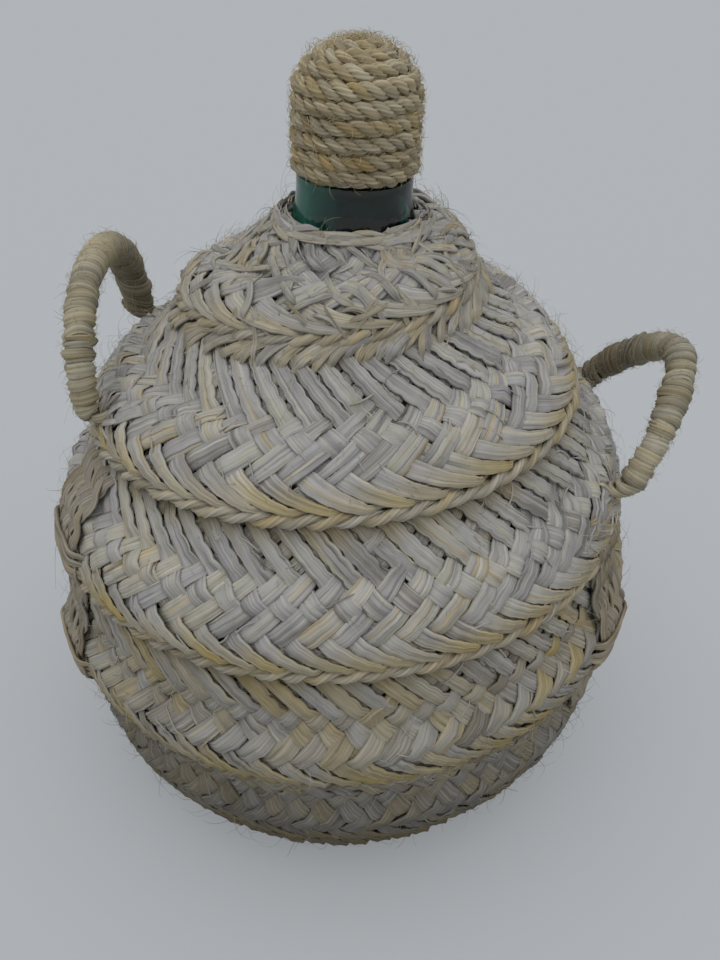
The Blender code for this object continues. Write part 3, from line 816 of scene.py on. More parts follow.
def swept(path, x, y, side):
    """Rings of offsets x and y along a path. The side is carried along without twist."""
    way = unit(np.gradient(path, axis=0))
    sides = np.empty_like(path)
    for i in range(len(path)):
        side = side - way[i] * np.dot(side, way[i])
        side = side / np.linalg.norm(side)
        sides[i] = side
    ups = np.cross(way, sides)
    return path[:, None, :] + x[..., None] * sides[:, None, :] + y[..., None] * ups[:, None, :]


print("a way of 3, 0, 4 as a unit:", unit(np.array((3.0, 0.0, 4.0))))

# %% [markdown]
# ## Twisting plies into a cord
#
# The plies turn round each other once in each lay. A screw line at a fixed radius looks like wire,
# so every 20 mm the twist, the rise and the thickness drift a little, as they do between the palms
# of the hands that rolled it.

# %% A twisted cord
drift_length = 0.02


def twisted_cord(path, out, up, ply_radius, offset, lay, plies=2, leaves=6, gold=0.0, dirt_and_shade=0.0, flat=1.0):
    """The plies of a cord. Out and up are directions square to the path, and a lay is one full twist."""
    at = np.concatenate([[0.0], np.cumsum(np.linalg.norm(np.diff(path, axis=0), axis=1))])
    knots = max(4, int(at[-1] / drift_length))

    def uneven(size):
        """Random values along the cord that drift from knot to knot."""
        return np.interp(at, np.linspace(0, at[-1], knots), rng.normal(0, size, knots))

    made = []
    shared = uneven(0.5)
    for ply in range(plies):
        phase = turn * (at / lay + ply / plies) + shared + uneven(0.12)
        rise = offset * (1 + uneven(0.10))[:, None]
        middle = path + rise * (flat * np.cos(phase)[:, None] * out + np.sin(phase)[:, None] * up)
        radius = ply_radius * (1 + uneven(0.10))
        x, y, tint, groove_shade = round_section(at, radius, leaves, -turn / lay * 0.9)
        rings = swept(middle, x, y, out[0])
        marks = np.zeros(rings.shape[:2] + (4,))
        marks[..., 0] = tint[None, :] + uneven(0.16)[:, None]
        marks[..., 1] = groove_shade[None, :]
        marks[..., 2] = np.clip(gold + uneven(0.25), 0, 1)[:, None]
        marks[..., 3] = dirt_and_shade
        made.append((rings, marks, ply_radius * 2))
    print(f"a cord of {plies} plies, {at[-1]:.2f} m long, with {at[-1] / lay:.0f} twists")
    return made


def piece_of(name, strands, material, body, replaced=()):
    """One piece from a list of (rings, marks, width)."""
    rings, marks, widths = zip(*strands)
    return tubes_mesh(name, rings, marks, widths, material, body, replaced)


print("the twist of a cord drifts every", round(drift_length * 1000), "mm")

# %% [markdown]
# ## The sewing cord
#
# A two-ply cord runs along under every lip. Its plies rise to the right, one lump to a strand of
# the plait. It lies in the shade of the lip, so it is browner than the leaves that stand in the
# light, and beside the neck it was pulled in deeper. A ring under each lip would be simpler, but the
# cord is one length and climbs with the plait, so it takes its course from the plait's lower edge.
# On the real cover its ends are not seen.

# %% The sewing cord
brown_cord = esparto(
    "weathered_sewing_cord",
    ((0.0, "#7d7869"), (0.25, "#a09a8a"), (0.5, "#b7b1a2"), (0.75, "#c4bca7"), (1.0, "#b3a27c")),
    gold="#b9a26c", dirt_and_shade="#3d352a", groove_shade=0.26)
under_lip = 0.0034
sewing_ply_radius, sewing_ply_offset, sewing_lay = 0.0021, 0.0018, 0.0250


def across_glass(turns, place):
    """Directions out of the glass and up it, at places round it."""
    radius, z = off_glass(place, 0.0)
    out_radius, out_z = off_glass(place, 0.001)
    out_r, out_h = (out_radius - radius) / 0.001, (out_z - z) / 0.001
    bearing = turn * turns
    out = np.stack([out_r * np.cos(bearing), out_r * np.sin(bearing), out_h], -1)
    up = np.stack([-out_h * np.cos(bearing), -out_h * np.sin(bearing), out_r], -1)
    return out, up


def sewing_cord():
    """The cord along under the lip, from the first lap to beside the neck."""
    grid = np.linspace(plait_start + 1.0, plait_end, 3600)
    edge = lower_edge(grid)
    grid = grid[(edge > 0.052) & (edge < 0.352)]
    deeper = smoothstep((lower_edge(grid) - 0.305) / 0.020)
    place = lower_edge(grid) - under_lip + 0.0012 * deeper
    distance = fit_gap + plait_lift(grid - 1, place) + plait_thickness + 0.0016 - 0.0014 * deeper
    radius, z = off_glass(place, distance)
    path = np.stack([radius * np.cos(turn * grid), radius * np.sin(turn * grid), z], -1)
    out, up = across_glass(grid, place)
    plies = twisted_cord(path, out, up, sewing_ply_radius, sewing_ply_offset, sewing_lay,
                         gold=0.14, dirt_and_shade=0.04)
    for rings, marks, _ in plies:
        # Darker low down and at the foot: dirt with painted shade, as on the plait
        marks[..., 3] += 0.30 * low_down(rings[..., 2]) + foot_grime_and_shade(rings[..., 2])
    piece_of("sewing_cord", plies, brown_cord, "vessel", ("seam_cord",))


sewing_cord()

# %% [markdown]
# ## The line of a handle
#
# Each handle is a rope bent to a loop, whose two feet go down through the cover. Its line could be
# drawn by hand as a curve. Here it is a rounded square with five sizes, the same that the solids
# follow: where its roots are, how high it rises, how far it leans out, and how square it is. Then it
# is smoothed as a rope smooths itself, and its feet bend in to the axis.

# %% The line of a handle
over_laps = fit_gap + 2 * plait_thickness + lap_gap
handle_root_half = 0.0560
handle_thickness = 0.0168
foot_reach = 0.0130
foot_steps = 10


def length_along(line):
    """How far along a line each of its points is."""
    return np.concatenate([[0.0], np.cumsum(np.linalg.norm(np.diff(line, axis=0), axis=1))])


def at_stops(stops, at, line):
    """Points of a line at these distances along it."""
    return np.column_stack([np.interp(stops, at, line[:, i]) for i in range(3)])


def handle_foot(end, way, radius):
    """Points that go on from the end of a handle, and bend in to the axis of the bottle."""
    inward = -np.array((end[0], end[1], 0.0)) / radius
    bent = [end]
    for share in np.linspace(0.1, 1, foot_steps):
        bent.append(bent[-1] + unit(unit(way) + inward * 2.2 * share) * foot_reach / foot_steps)
    return np.array(bent[1:])


def handle_line(side, place, rise, lean, squareness, thickness):
    """Points along a handle's middle, how far along they are, and the way square to its plane."""
    radius, root_z = off_glass(np.array(place), over_laps + thickness[1] / 2)
    root_x = np.sqrt(radius**2 - handle_root_half**2)
    t = np.linspace(0, np.pi, 4001)
    across = -np.sign(np.cos(t)) * np.abs(np.cos(t)) ** (2 / squareness) * handle_root_half
    up = np.abs(np.sin(t)) ** (2 / squareness) * rise
    line = np.column_stack([side * (root_x + np.sin(lean) * up), across, root_z + np.cos(lean) * up])
    at = length_along(line)
    line = at_stops(np.linspace(0, at[-1], 201), at, line)
    for _ in range(120):
        line[1:-1] = (line[:-2] + 2 * line[1:-1] + line[2:]) / 4
    line = line[6:-6]
    front = handle_foot(line[0], line[0] - line[1], radius)
    back = handle_foot(line[-1], line[-1] - line[-2], radius)
    line = np.vstack([front[::-1], line, back])
    return line, length_along(line), np.cross((0.0, 1.0, 0.0), (np.sin(lean) * side, 0.0, np.cos(lean)))


print("the roots of each handle are", round(2000 * handle_root_half), "mm apart")

# %% [markdown]
# ## A ribbon round a rope
#
# The handle is served with leaves: wound close all along, so that no rope shows. Rings set side by
# side would look like a spring. A real turn is a ribbon of a few leaves, pulled flat round the rope,
# and a hand lays the turns with different widths and at slightly different slants, so they ride over
# one another here and there. A little dirt lies all over, and painted shade darkens the edges where
# the turns meet and the back half of the handle, which is turned away.

# %% A ribbon of leaves round a rope
served_leaves = esparto(
    "served_esparto_leaves",
    ((0.0, "#7a7667"), (0.25, "#9b9685"), (0.5, "#b5b09e"), (0.75, "#c3bba0"), (1.0, "#af9e76")),
    gold="#b4a16f", dirt_and_shade="#453d30", streak_length=0.02, groove_shade=0.30)
ribbon_thickness = 0.0028
ribbon_sheet_width = 0.006
look_ahead = 0.003


def round_the_rope(line, at, square, t, stop):
    """Middle, way along and way out for a point that goes round the line, and how far turns open there."""
    centre, ahead, behind = [at_stops(stop + shift, at, line) for shift in (0.0, look_ahead, -look_ahead)]
    way = unit(ahead - behind)
    phase = turn * t
    out = np.cos(phase)[:, None] * np.cross(way, square) + np.sin(phase)[:, None] * square
    bend = (behind + ahead - 2 * centre) / look_ahead**2
    return centre, way, out, np.clip(1 - (bend * out).sum(axis=1) * 0.0080, 0.45, 1.6)


def ribbon_round(line, at, square, thick, t, stop, gap, spread_by=1.40, lift=0.0):
    """A ribbon of leaves wound round the line: t counts its turns, and stop is where it lies."""
    thickness = np.interp(stop, at, thick)
    centre, way, out, spread = round_the_rope(line, at, square, t, stop)
    phase = turn * t
    whole = np.arange(int(np.ceil(t[-1])) + 2)
    slant, facing, high, tone = [rng.normal(0, size, len(whole)) for size in (0.17, 2.0, 0.00045, 0.17)]
    lean_over = np.interp(t, whole, slant) * np.cos(phase + np.interp(t, whole, facing))
    lean_over = lean_over + 0.28 * np.sin(phase)
    lean_over = lean_over * thickness / 2
    end = smoothstep(np.minimum(t - t[0], t[-1] - t) / 0.5)
    radius = thickness / 2 - ribbon_thickness / 2 + np.interp(t, whole, high)
    radius = radius + wander(len(t), 0.00035, 30) + lift
    width = gap * spread_by * spread * (0.4 + 0.6 * end) * (1 + wander(len(t), 0.10, 30))
    x, y, tint, groove_shade = ribbed_section(len(t), width, ribbon_thickness, rib=0.00026, leaves=4)
    side_on = np.abs(x) / (width[:, None] / 2)
    y = y - 0.0006 * side_on**3 * (y > -0.001)
    y = y + x * np.interp(t, whole, rng.normal(0.10, 0.10, len(whole)))[:, None]
    middle = centre + way * lean_over[:, None] + out * radius[:, None]
    rings = middle[:, None, :] + x[..., None] * way[:, None, :] + y[..., None] * out[:, None, :]
    marks = np.zeros(rings.shape[:2] + (4,))
    marks[..., 0] = tint[None, :] + np.interp(t, whole, tone)[:, None]
    marks[..., 1] = groove_shade[None, :]
    marks[..., 2] = np.clip(0.18 + 1.2 * np.interp(t, whole, tone[::-1]), 0, 0.8)[:, None]
    # Painted shade where the turns meet, and on the back half, turned away from the camera
    marks[..., 3] = 0.04 + 0.36 * smoothstep((side_on - 0.70) / 0.30)
    marks[..., 3] += 0.42 * smoothstep(rings[..., 1] / 0.040)
    return rings, marks, gap


print("a ribbon of four leaves is", ribbon_thickness * 1000, "mm thick")

# %% [markdown]
# ## The two handles
#
# Inside is a rope of three plies. It hardly shows, but its ends do where the winding stops, and a
# handle without it would be a hollow spring. The winding comes next, then seven short ribbons that
# ride over it, as where the maker let in a new leaf. Both handles swell from the front foot to the
# back one, so the thickness is a list of seven values along the loop. The left one stands nearly
# upright and its leaves are painted a little lighter, a painted light against the shade it stands
# in, and the right one leans well out.

# %% Two handles
golden_cord = esparto(
    "golden_esparto_cord",
    ((0.0, "#857b63"), (0.25, "#aca188"), (0.5, "#c6bca1"), (0.75, "#d4cbb0"), (1.0, "#bba273")),
    gold="#c9ae6e", dirt_and_shade="#43392c", groove_shade=0.40)
rope_inset = 0.0090
core_ply_radius, core_ply_offset, core_lay = 0.0022, 0.0020, 0.050
riding_ribbons = 7


def handle_rope(word, line, at, square):
    """The rope of three plies inside the winding."""
    path = at_stops(np.linspace(rope_inset, at[-1] - rope_inset, 140), at, line)
    squares = np.tile(square, (len(path), 1))
    way = unit(np.gradient(path, axis=0))
    plies = twisted_cord(path, squares, np.cross(way, squares), core_ply_radius, core_ply_offset, core_lay,
                         plies=3)
    piece_of(word + "_handle_core", plies, golden_cord, word + "_handle", (word + "_handle_rope",))


def handle(word, side, place, rise, lean, squareness, thickness, turns_wound, painted_lightening):
    """Rope and winding of one handle. It returns its line, for the hairs and leaves that come later."""
    line, at, square = handle_line(side, place, rise, lean, squareness, thickness)
    thick = np.interp(at / at[-1], np.linspace(0, 1, len(thickness)), thickness)
    handle_rope(word, line, at, square)

    # The winding from foot to foot, then a few leaves that ride over it
    uneven = np.concatenate([[0.0], np.cumsum(rng.uniform(0.80, 1.20, turns_wound))])
    starts = 0.0020 + (at[-1] - 0.0040) * uneven / uneven[-1]
    t = np.linspace(0, turns_wound, turns_wound * 26 + 1)
    stop = np.interp(t, np.arange(turns_wound + 1), starts)
    gap = np.interp(t, np.arange(turns_wound) + 0.5, np.diff(starts))
    ribbons = [ribbon_round(line, at, square, thick, t, stop, gap)]
    for first in rng.uniform(0.06, 0.86, riding_ribbons) * at[-1]:
        t = np.linspace(0, rng.uniform(1.4, 2.6), 50) + rng.uniform(0, 1)
        stop = first + (t - t[0]) * rng.uniform(0.0035, 0.0075)
        ribbons.append(ribbon_round(line, at, square, thick, t, stop, np.full(50, 0.0042), 1.0, 0.0006))
    # Painted light: the tint of every leaf is shifted lighter by this amount
    for _, marks, _ in ribbons:
        marks[..., 0] += painted_lightening
    served = [(rings, marks, ribbon_sheet_width) for rings, marks, _ in ribbons]
    piece_of(word + "_handle_serving", served, served_leaves, word + "_handle",
             (word + "_handle_winding",))
    return line, at, thick


left_thick = (0.0120, 0.0134, 0.0140, 0.0142, 0.0156, 0.0170, 0.0160)
right_thick = (0.0106, 0.0124, 0.0140, 0.0148, 0.0150, 0.0156, 0.0150)
left_place, right_place = 0.6437 * glass_length, 0.5622 * glass_length
# The left handle's last value, 0.12, is painted light in the tint of its leaves
left_line = handle("left", -1, left_place, 0.0552, np.radians(3.5), 2.25, left_thick, 34, 0.12)
right_line = handle("right", 1, right_place, 0.0580, np.radians(32.0), 1.48, right_thick, 32, 0.0)
print(f"the ropes are {left_line[1][-1] * 1000:.0f} and {right_line[1][-1] * 1000:.0f} mm long")

# %% [markdown]
# ## The surface of the cover
#
# Straps, loose leaves and hairs lie on the cover, whose surface steps at every lap. They could be
# dropped onto the mesh with ray casts, but the strands make it so rough that they would jump about.
# So they ask a plain function how far off the glass the outer face is, at any bearing and place.

# %% Where the plait's outer face is
def top_of_plait(bearing, place):
    """How far off the glass the outer face of the cover is."""
    bearing, place = np.broadcast_arrays(np.asarray(bearing, float), np.asarray(place, float))
    height = np.full(place.shape, fit_gap)
    for lap in range(9):
        turns = bearing / turn + lap
        covers = (turns > plait_start) & (turns < plait_end)
        covers &= (lower_edge(turns) < place) & (place < upper_edge(turns))
        height = np.where(covers, fit_gap + plait_lift(turns, place) + plait_thickness, height)
    return height


def on_cover(bearing, place, distance):
    """Points at a distance off the glass, and the ways out of it there."""
    radius, z = off_glass(place, distance)
    out_radius, out_z = off_glass(place, distance + 0.001)
    point = np.stack([radius * np.cos(bearing), radius * np.sin(bearing), z], -1)
    further = np.stack([out_radius * np.cos(bearing), out_radius * np.sin(bearing), out_z], -1)
    return point, unit(further - point)


stand_off = float(top_of_plait(0.0, 0.25))
print("above the widest part the cover is", round(stand_off * 1000, 1), "mm off the glass")

# %% [markdown]
# ## A ribbon laid on the cover
#
# A strap's branch, a lashing and a frayed end are all a few leaves side by side that lie on the
# cover. They have the same ribbed bundle as the plait's strands, only swept along a path of their
# own and twisted a little, so that one edge lifts and throws a shadow.

# %% A laid ribbon
def laid_ribbon(path, out, width, thickness, leaves, rib, gold, dirt_and_shade, twist):
    """A bundle of leaves along a path that lies on the cover."""
    way = unit(np.gradient(path, axis=0))
    across = unit(np.cross(out, way))
    x, y, tint, groove_shade = ribbed_section(len(path), width, thickness, rib=rib, leaves=leaves)
    turned_x = x * np.cos(twist)[:, None] - y * np.sin(twist)[:, None]
    turned_y = x * np.sin(twist)[:, None] + y * np.cos(twist)[:, None]
    rings = (path[:, None, :] + turned_x[..., None] * across[:, None, :]
             + turned_y[..., None] * out[:, None, :])
    marks = np.zeros(rings.shape[:2] + (4,))
    marks[..., 0] = tint[None, :] + wander(len(path), 0.12)[:, None]
    marks[..., 1] = groove_shade[None, :]
    marks[..., 2] = gold
    marks[..., 3] = dirt_and_shade
    return rings, marks, float(np.mean(width))


print("a laid ribbon has", 2 * leaf_count + 3, "points round when it has", leaf_count, "leaves")

# %% [markdown]
# ## The lie and the braid of a strap
#
# A strap lies over the laps below each foot of a handle. It is a flat braid of nine branches, whose
# strands run steeply from edge to edge, and it is browner than the plait because it came from the
# heart of the sheaf. It is stiff, so it bridges the steps of the plait: its height is the cover's
# own, taken at its highest nearby and then smoothed. Its lower end goes in under the cover's lap.

# %% The braid of a strap
strap_leaves = esparto(
    "brown_strap_leaves",
    ((0.0, "#777164"), (0.3, "#969084"), (0.55, "#aca69b"), (0.8, "#b8af96"), (1.0, "#9c8b79")),
    gold="#b09c6c", dirt_and_shade="#40392d", streak_length=0.03, groove_shade=0.36)
strap_bottom = 0.2671 * glass_length
branches = 9
braid_width = 0.0350
braid_period = 0.1500
branch_width, branch_thickness = 0.0068, 0.0022
strap_sink = 0.0052


def strap_lie(bearing, top):
    """Places up a strap, and how far off the glass it lies there."""
    grid = np.linspace(strap_bottom - 0.012, top, 160)
    lie = top_of_plait(bearing, grid)
    lie = np.max([np.interp(grid + s, grid, lie) for s in np.linspace(-0.004, 0.004, 9)], axis=0)
    lie = np.mean([np.interp(grid + s, grid, lie) for s in np.linspace(-0.007, 0.007, 17)], axis=0)
    end = np.minimum(grid - grid[0], 2 * (grid[-1] - grid))
    return grid, lie - strap_sink * (1 - smoothstep(end / 0.016))


def strap_branch(bearing, grid, lie, branch):
    """One branch of the braid. It crosses from edge to edge and back, over and then under."""
    length = grid[-1] - grid[0]
    count = int(length / 0.0024)
    share = np.linspace(0.0, 1.0, count)
    place = grid[0] + length * share
    phase = (length * share / braid_period + branch / branches + wander(count, 0.010)) % 1.0
    goes_right = phase < 0.5
    side = np.where(goes_right, 2 * phase, 2 - 2 * phase)
    edge = smoothstep(np.minimum(side, 1 - side) * branches * 1.4)
    over = np.where(goes_right, -1.0, 1.0) * np.cos(np.pi * branches * side) * edge
    shift = np.convolve(np.pad((side - 0.5) * braid_width, 1, "edge"), (0.25, 0.5, 0.25), "valid")
    height = np.interp(place, grid, lie) + 0.0014 + 0.0010 * over + wander(count, 0.0003)
    path, out = on_cover(bearing + shift / off_glass(place, height)[0], place, height)
    ends = smoothstep(np.minimum(share, 1 - share) / 0.05)
    width = branch_width * (1 + wander(count, 0.10)) * (0.6 + 0.4 * ends)
    return laid_ribbon(path, out, width, branch_thickness, 5, 0.00026, rng.uniform(0, 0.35), 0.08,
                       np.full(count, rng.normal(0, 0.08)))


print("a strap's branch crosses it in", round(500 * braid_period), "mm")

# %% [markdown]
# ## Lashings, and the four straps
#
# Where a lip crosses the strap, four golden leaves lash it down. On the real cover they are the ends
# of one leaf, threaded through. Here each is a ribbon that rises over the strap in the middle and
# goes into the plait at both ends, because only that part is seen. Two straps stand at each side of
# the body, 27 degrees before and behind its middle.

# %% Four straps
strap_bearing = np.radians(27.0)
lashing_half = 0.0215
lashing_leaves = 4


def strap_lashing(bearing, lap, leaf, grid, lie, top):
    """A leaf over the strap, along the lip of this lap."""
    count = 26
    share = np.linspace(-1, 1, count)
    half = lashing_half + rng.uniform(-0.003, 0.003)
    bearings = bearing + share * half / 0.150
    down_right = 0.0060 * share * rng.uniform(0.4, 1.3)
    place = lower_edge(bearings / turn + lap) + 0.0030 + leaf * 0.0040 - down_right + wander(count, 0.0007)
    over = smoothstep((1 - np.abs(share)) / 0.36)
    cover = top_of_plait(bearings, np.minimum(place, top)) + 0.0010
    bridge = np.interp(place, grid, lie) + 0.0031
    height = cover * (1 - over) + bridge * over - 0.0034 * smoothstep((np.abs(share) - 0.78) / 0.22)
    path, out = on_cover(bearings, place, height + 0.0003 * leaf)
    width = np.full(count, rng.uniform(0.0036, 0.0056)) * (0.5 + 0.5 * smoothstep((1 - np.abs(share)) / 0.2))
    return laid_ribbon(path, out, width, 0.0018, 3, 0.00026, rng.uniform(0.1, 0.55), 0.0,
                       np.full(count, rng.normal(0, 0.15)))


def strap(word, bearing, handle_place):
    """One strap from under a handle's foot down to its lowest lashing."""
    top = handle_place - handle_thickness / 2 - 0.0055
    grid, lie = strap_lie(bearing, top)
    ribbons = [strap_branch(bearing, grid, lie, branch) for branch in range(branches)]
    for lap in range(2, 8):
        if strap_bottom - 0.004 < float(lower_edge(np.array(bearing / turn + lap))) < top:
            ribbons += [strap_lashing(bearing, lap, leaf, grid, lie, top) for leaf in range(lashing_leaves)]
    piece_of(word + "_strap_strip", ribbons, strap_leaves, "vessel", (word + "_strap",))


strap("left_front", np.pi + strap_bearing, left_place)
strap("left_back", np.pi - strap_bearing, left_place)
strap("right_front", turn - strap_bearing, right_place)
strap("right_back", strap_bearing, right_place)

# %% [markdown]
# ## The stopper
#
# A long cork, wound from the mouth of the bottle upward with three-ply cord, row on row, and in
# over its round top, where the end of the cord is tucked in. Closed rings would be easier, but at
# the top they would show as circles, and the real rows climb. So the cord follows an outline, up a
# straight side and over a quarter round, one row for each turn. The rows are pressed into each
# other, so they are a little flatter than the cord was, and its first turn starts thin and sunk.

# %% The cord of the stopper
cork_radius = neck_radius - 0.0050 - 0.0004
stopper_row = 0.0071
stopper_thick = 0.0084
stopper_tall = 0.0570
stopper_round = 0.0205
first_turn = 0.95
stopper_ply_radius, stopper_ply_offset, stopper_lay = 0.0020, 0.0021, 0.0180


def climbing(turns, row, course, at, look):
    """Radius and height of a cord that takes one row for each turn, and its way up the outline."""
    radius, z = [np.interp(turns * row, at, course[:, i]) for i in (0, 1)]
    way = [np.interp(turns * row + look, at, course[:, i]) - np.interp(turns * row - look, at, course[:, i])
           for i in (0, 1)]
    size = np.maximum(np.hypot(*way), 1e-6)
    return radius, z, way[0] / size, way[1] / size


def wound_path(bearing, radius, z, way_r, way_z):
    """The path of a cord wound round the axis, and its ways out and up."""
    path = np.stack([radius * np.cos(bearing), radius * np.sin(bearing), z], -1)
    out = np.stack([way_z * np.cos(bearing), way_z * np.sin(bearing), -way_r], -1)
    up = np.stack([way_r * np.cos(bearing), way_r * np.sin(bearing), way_z], -1)
    return path, out, up


def stopper_winding():
    """The cord from the mouth of the bottle to the middle of the round top."""
    wound = cork_radius + stopper_thick / 2
    low = mouth_height + 0.0008 + stopper_row / 2
    shoulder = mouth_height + stopper_tall - stopper_thick / 2 - stopper_round
    quarter = np.linspace(0, np.pi / 2, 201)
    course = np.vstack([[(wound, low)], np.column_stack([
        wound * np.cos(quarter), shoulder + stopper_round * np.sin(quarter)])])
    at = length_along(course)
    turns = np.linspace(-first_turn, (at[-1] - 0.0036) / stopper_row, 1900)
    run = np.maximum(turns, 0.0) * stopper_row + wander(len(turns), 0.0007, 14)
    path, out, up = wound_path(turn * turns - 1.2, *climbing(run, 1.0, course, at, 0.001))
    plies = twisted_cord(path, out, -up, stopper_ply_radius, stopper_ply_offset, stopper_lay, plies=3,
                         gold=0.12, dirt_and_shade=0.08, flat=0.95)
    thin = (0.35 + 0.65 * smoothstep((turns + first_turn) / first_turn))[:, None, None]
    sunk = ((1 - thin[..., 0]) * 0.0030)[:, None, :] * np.array((0.0, 0.0, 1.0))
    plies = [(path[:, None, :] + (p[0] - path[:, None, :]) * thin - sunk, p[1], p[2]) for p in plies]
    piece_of("stopper_winding", plies, golden_cord, "stopper", ("stopper_cord",))


stopper_winding()

# %% [markdown]
# ## The coil under the bottle
#
# The base is a flat coil of two-ply cord, sewn row to row, that turns up round the heel of the
# bottle. It isn't seen when the bottle stands, but a reusable piece may be tipped over, so it is
# wound like the rest, from the middle out. It stands on the floor, so its underside is pressed flat.
# Wear and damp have made it brown, with dirt and painted shade between the rows.

# %% The base
base_leaves = esparto(
    "worn_base_esparto",
    ((0.0, "#625741"), (0.3, "#81745a"), (0.6, "#988b6e"), (1.0, "#8a7a5c")),
    gold="#a28b58", dirt_and_shade="#2f281d", groove_shade=0.5)
base_row = 0.0070
base_ply_radius, base_ply_offset, base_lay = 0.0021, 0.0019, 0.026


def base_winding():
    """The coil from the middle of the underside out, and up round the heel."""
    heel_radius, heel_z = off_glass(np.linspace(0.004, base_rim_place, 40), fit_gap + 0.0036)
    course = np.vstack([[(0.0030, 0.0037)], np.column_stack([heel_radius, np.maximum(heel_z, 0.0037)])])
    at = length_along(course)
    turns = np.linspace(0, at[-1] / base_row, 4200)
    path, out, up = wound_path(turn * turns, *climbing(turns, base_row, course, at, 0.002))
    plies = twisted_cord(path, out, up, base_ply_radius, base_ply_offset, base_lay, leaves=5, dirt_and_shade=0.2)
    floor_line = (-1.0, -1.0, just_above_floor)
    pressed = [(np.maximum(rings, floor_line), marks, width) for rings, marks, width in plies]
    piece_of("base_winding", pressed, base_leaves, "vessel", ("base_coil",))


base_winding()

# %% [markdown]
# ## Where the plait starts
#
# The plait climbs away from the base, and in its first turn that leaves a wedge between them. A real
# maker fills it with a few leaves laid side by side, before the second turn laps over it. So do five
# laid ribbons here, which get wider as the wedge opens.

# %% Starting leaves
wedge_leaves = 5


def starting_leaves():
    """Leaves side by side between the base's rim and the plait's lower edge."""
    ribbons = []
    for leaf in range(wedge_leaves):
        turns = np.linspace(plait_start + 0.62, plait_start + 1.14, 84)
        share = (leaf + 0.5) / wedge_leaves
        place = base_rim_place - 0.004 + share * (lower_edge(turns) + 0.008 - base_rim_place)
        place = place + wander(84, 0.0008)
        path, out = on_cover(turn * turns, place, fit_gap + 0.0034 + wander(84, 0.0004))
        width = (lower_edge(turns) + 0.010 - base_rim_place) / 3.4
        ribbons.append(laid_ribbon(path, out, width, 0.0032, 4, 0.00030, 0.2, 0.25, wander(84, 0.2)))
    piece_of("starting_leaves", ribbons, base_leaves, "vessel", ())


starting_leaves()

# %% [markdown]
# ## Turned pieces
#
# Blown glass and a cut cork are both round about the axis, so each is an outline turned round. A
# Screw modifier does the same, but it leaves doubled points on the axis, and the glass needs clean
# faces to bend light. So one function turns an outline whose first and last points are on the axis.

# %% Turning an outline
round_steps = 128


def turned(name, outline, material, body, replaced, steps=round_steps):
    """A solid turned from an outline of (radius, height), which starts and ends on the axis."""
    outline = np.array(outline)
    angles = turn * np.arange(steps) / steps
    rings = outline[1:-1]
    points = [(0.0, 0.0, outline[0, 1])]
    for radius, z in rings:
        points += [(radius * np.cos(a), radius * np.sin(a), z) for a in angles]
    points.append((0.0, 0.0, outline[-1, 1]))
    faces = [(0, 1 + (i + 1) % steps, 1 + i) for i in range(steps)]
    for ring in range(len(rings) - 1):
        a = 1 + ring * steps
        faces += [(a + i, a + (i + 1) % steps, a + steps + (i + 1) % steps, a + steps + i)
                  for i in range(steps)]
    a = 1 + (len(rings) - 1) * steps
    faces += [(a + i, a + (i + 1) % steps, len(points) - 1) for i in range(steps)]
    mesh = bpy.data.meshes.new(name)
    mesh.from_pydata(points, [], faces)
    return add_piece(name, mesh, material, body, (replaced,))


print("a turned outline has a corner every", round(360 / round_steps, 1), "degrees")

# %% [markdown]
# ## Green blown glass
#
# The bottle is soda-lime glass coloured with iron, IOR 1.52, blown and fire-polished. It could be a
# dark green paint, but then the neck would be dead. Real glass lets a little green through at its
# sides, where one looks along the wall, and looks nearly black in the middle, where the cork stands
# behind it. Blowing leaves faint waves, longer up the neck than round it, and dust makes it a little
# rougher in spots. On its left side a painted light lets less through and shows more of the glass's
# own green, which hides a part of the dark behind it.

# %% The glass
green_glass = bpy.data.materials.new("dark_green_blown_glass")
green_glass.use_nodes = True
glass_tree = green_glass.node_tree
glass_shader = glass_tree.nodes["Principled BSDF"]
glass_place = add_node(glass_tree, "ShaderNodeTexCoord")
glass_swirl = add_node(glass_tree, "ShaderNodeMapping", {
    "Vector": glass_place.outputs["Object"], "Scale": (1.0, 1.0, 0.18)})
glass_cords = add_node(glass_tree, "ShaderNodeTexNoise", {
    "Vector": glass_swirl.outputs["Vector"], "Scale": 90.0, "Detail": 2.0})
glass_waves = add_node(glass_tree, "ShaderNodeBump", {
    "Height": glass_cords.outputs["Fac"], "Distance": 0.0004, "Strength": 0.35})
glass_dust = add_node(glass_tree, "ShaderNodeTexNoise", {
    "Vector": glass_place.outputs["Object"], "Scale": 240.0, "Detail": 4.0})
glass_rough = add_node(glass_tree, "ShaderNodeMapRange", {
    "Value": glass_dust.outputs["Fac"], "From Min": 0.35, "From Max": 0.75, "To Min": 0.02, "To Max": 0.09})
# Painted light on the left side: less goes through there, and the glass's green shows as if lit
glass_side = add_node(glass_tree, "ShaderNodeSeparateXYZ", {"Vector": glass_place.outputs["Object"]})
glass_drift = add_node(glass_tree, "ShaderNodeMath", {
    0: glass_cords.outputs["Fac"], 1: 0.020, 2: glass_side.outputs["X"]}, operation="MULTIPLY_ADD")
glass_painted_light = add_node(glass_tree, "ShaderNodeMapRange", {
    "Value": glass_drift.outputs["Value"],
    "From Min": -0.010, "From Max": 0.003, "To Min": 0.80, "To Max": 1.0})
for socket, result in (("Normal", glass_waves.outputs["Normal"]),
                       ("Roughness", glass_rough.outputs["Result"]),
                       ("Transmission Weight", glass_painted_light.outputs["Result"])):
    glass_tree.links.new(result, glass_shader.inputs[socket])
glass_shader.inputs["Base Color"].default_value = linear("#3fa48e")
glass_shader.inputs["IOR"].default_value = 1.52
print("material", green_glass.name, "with IOR 1.52")

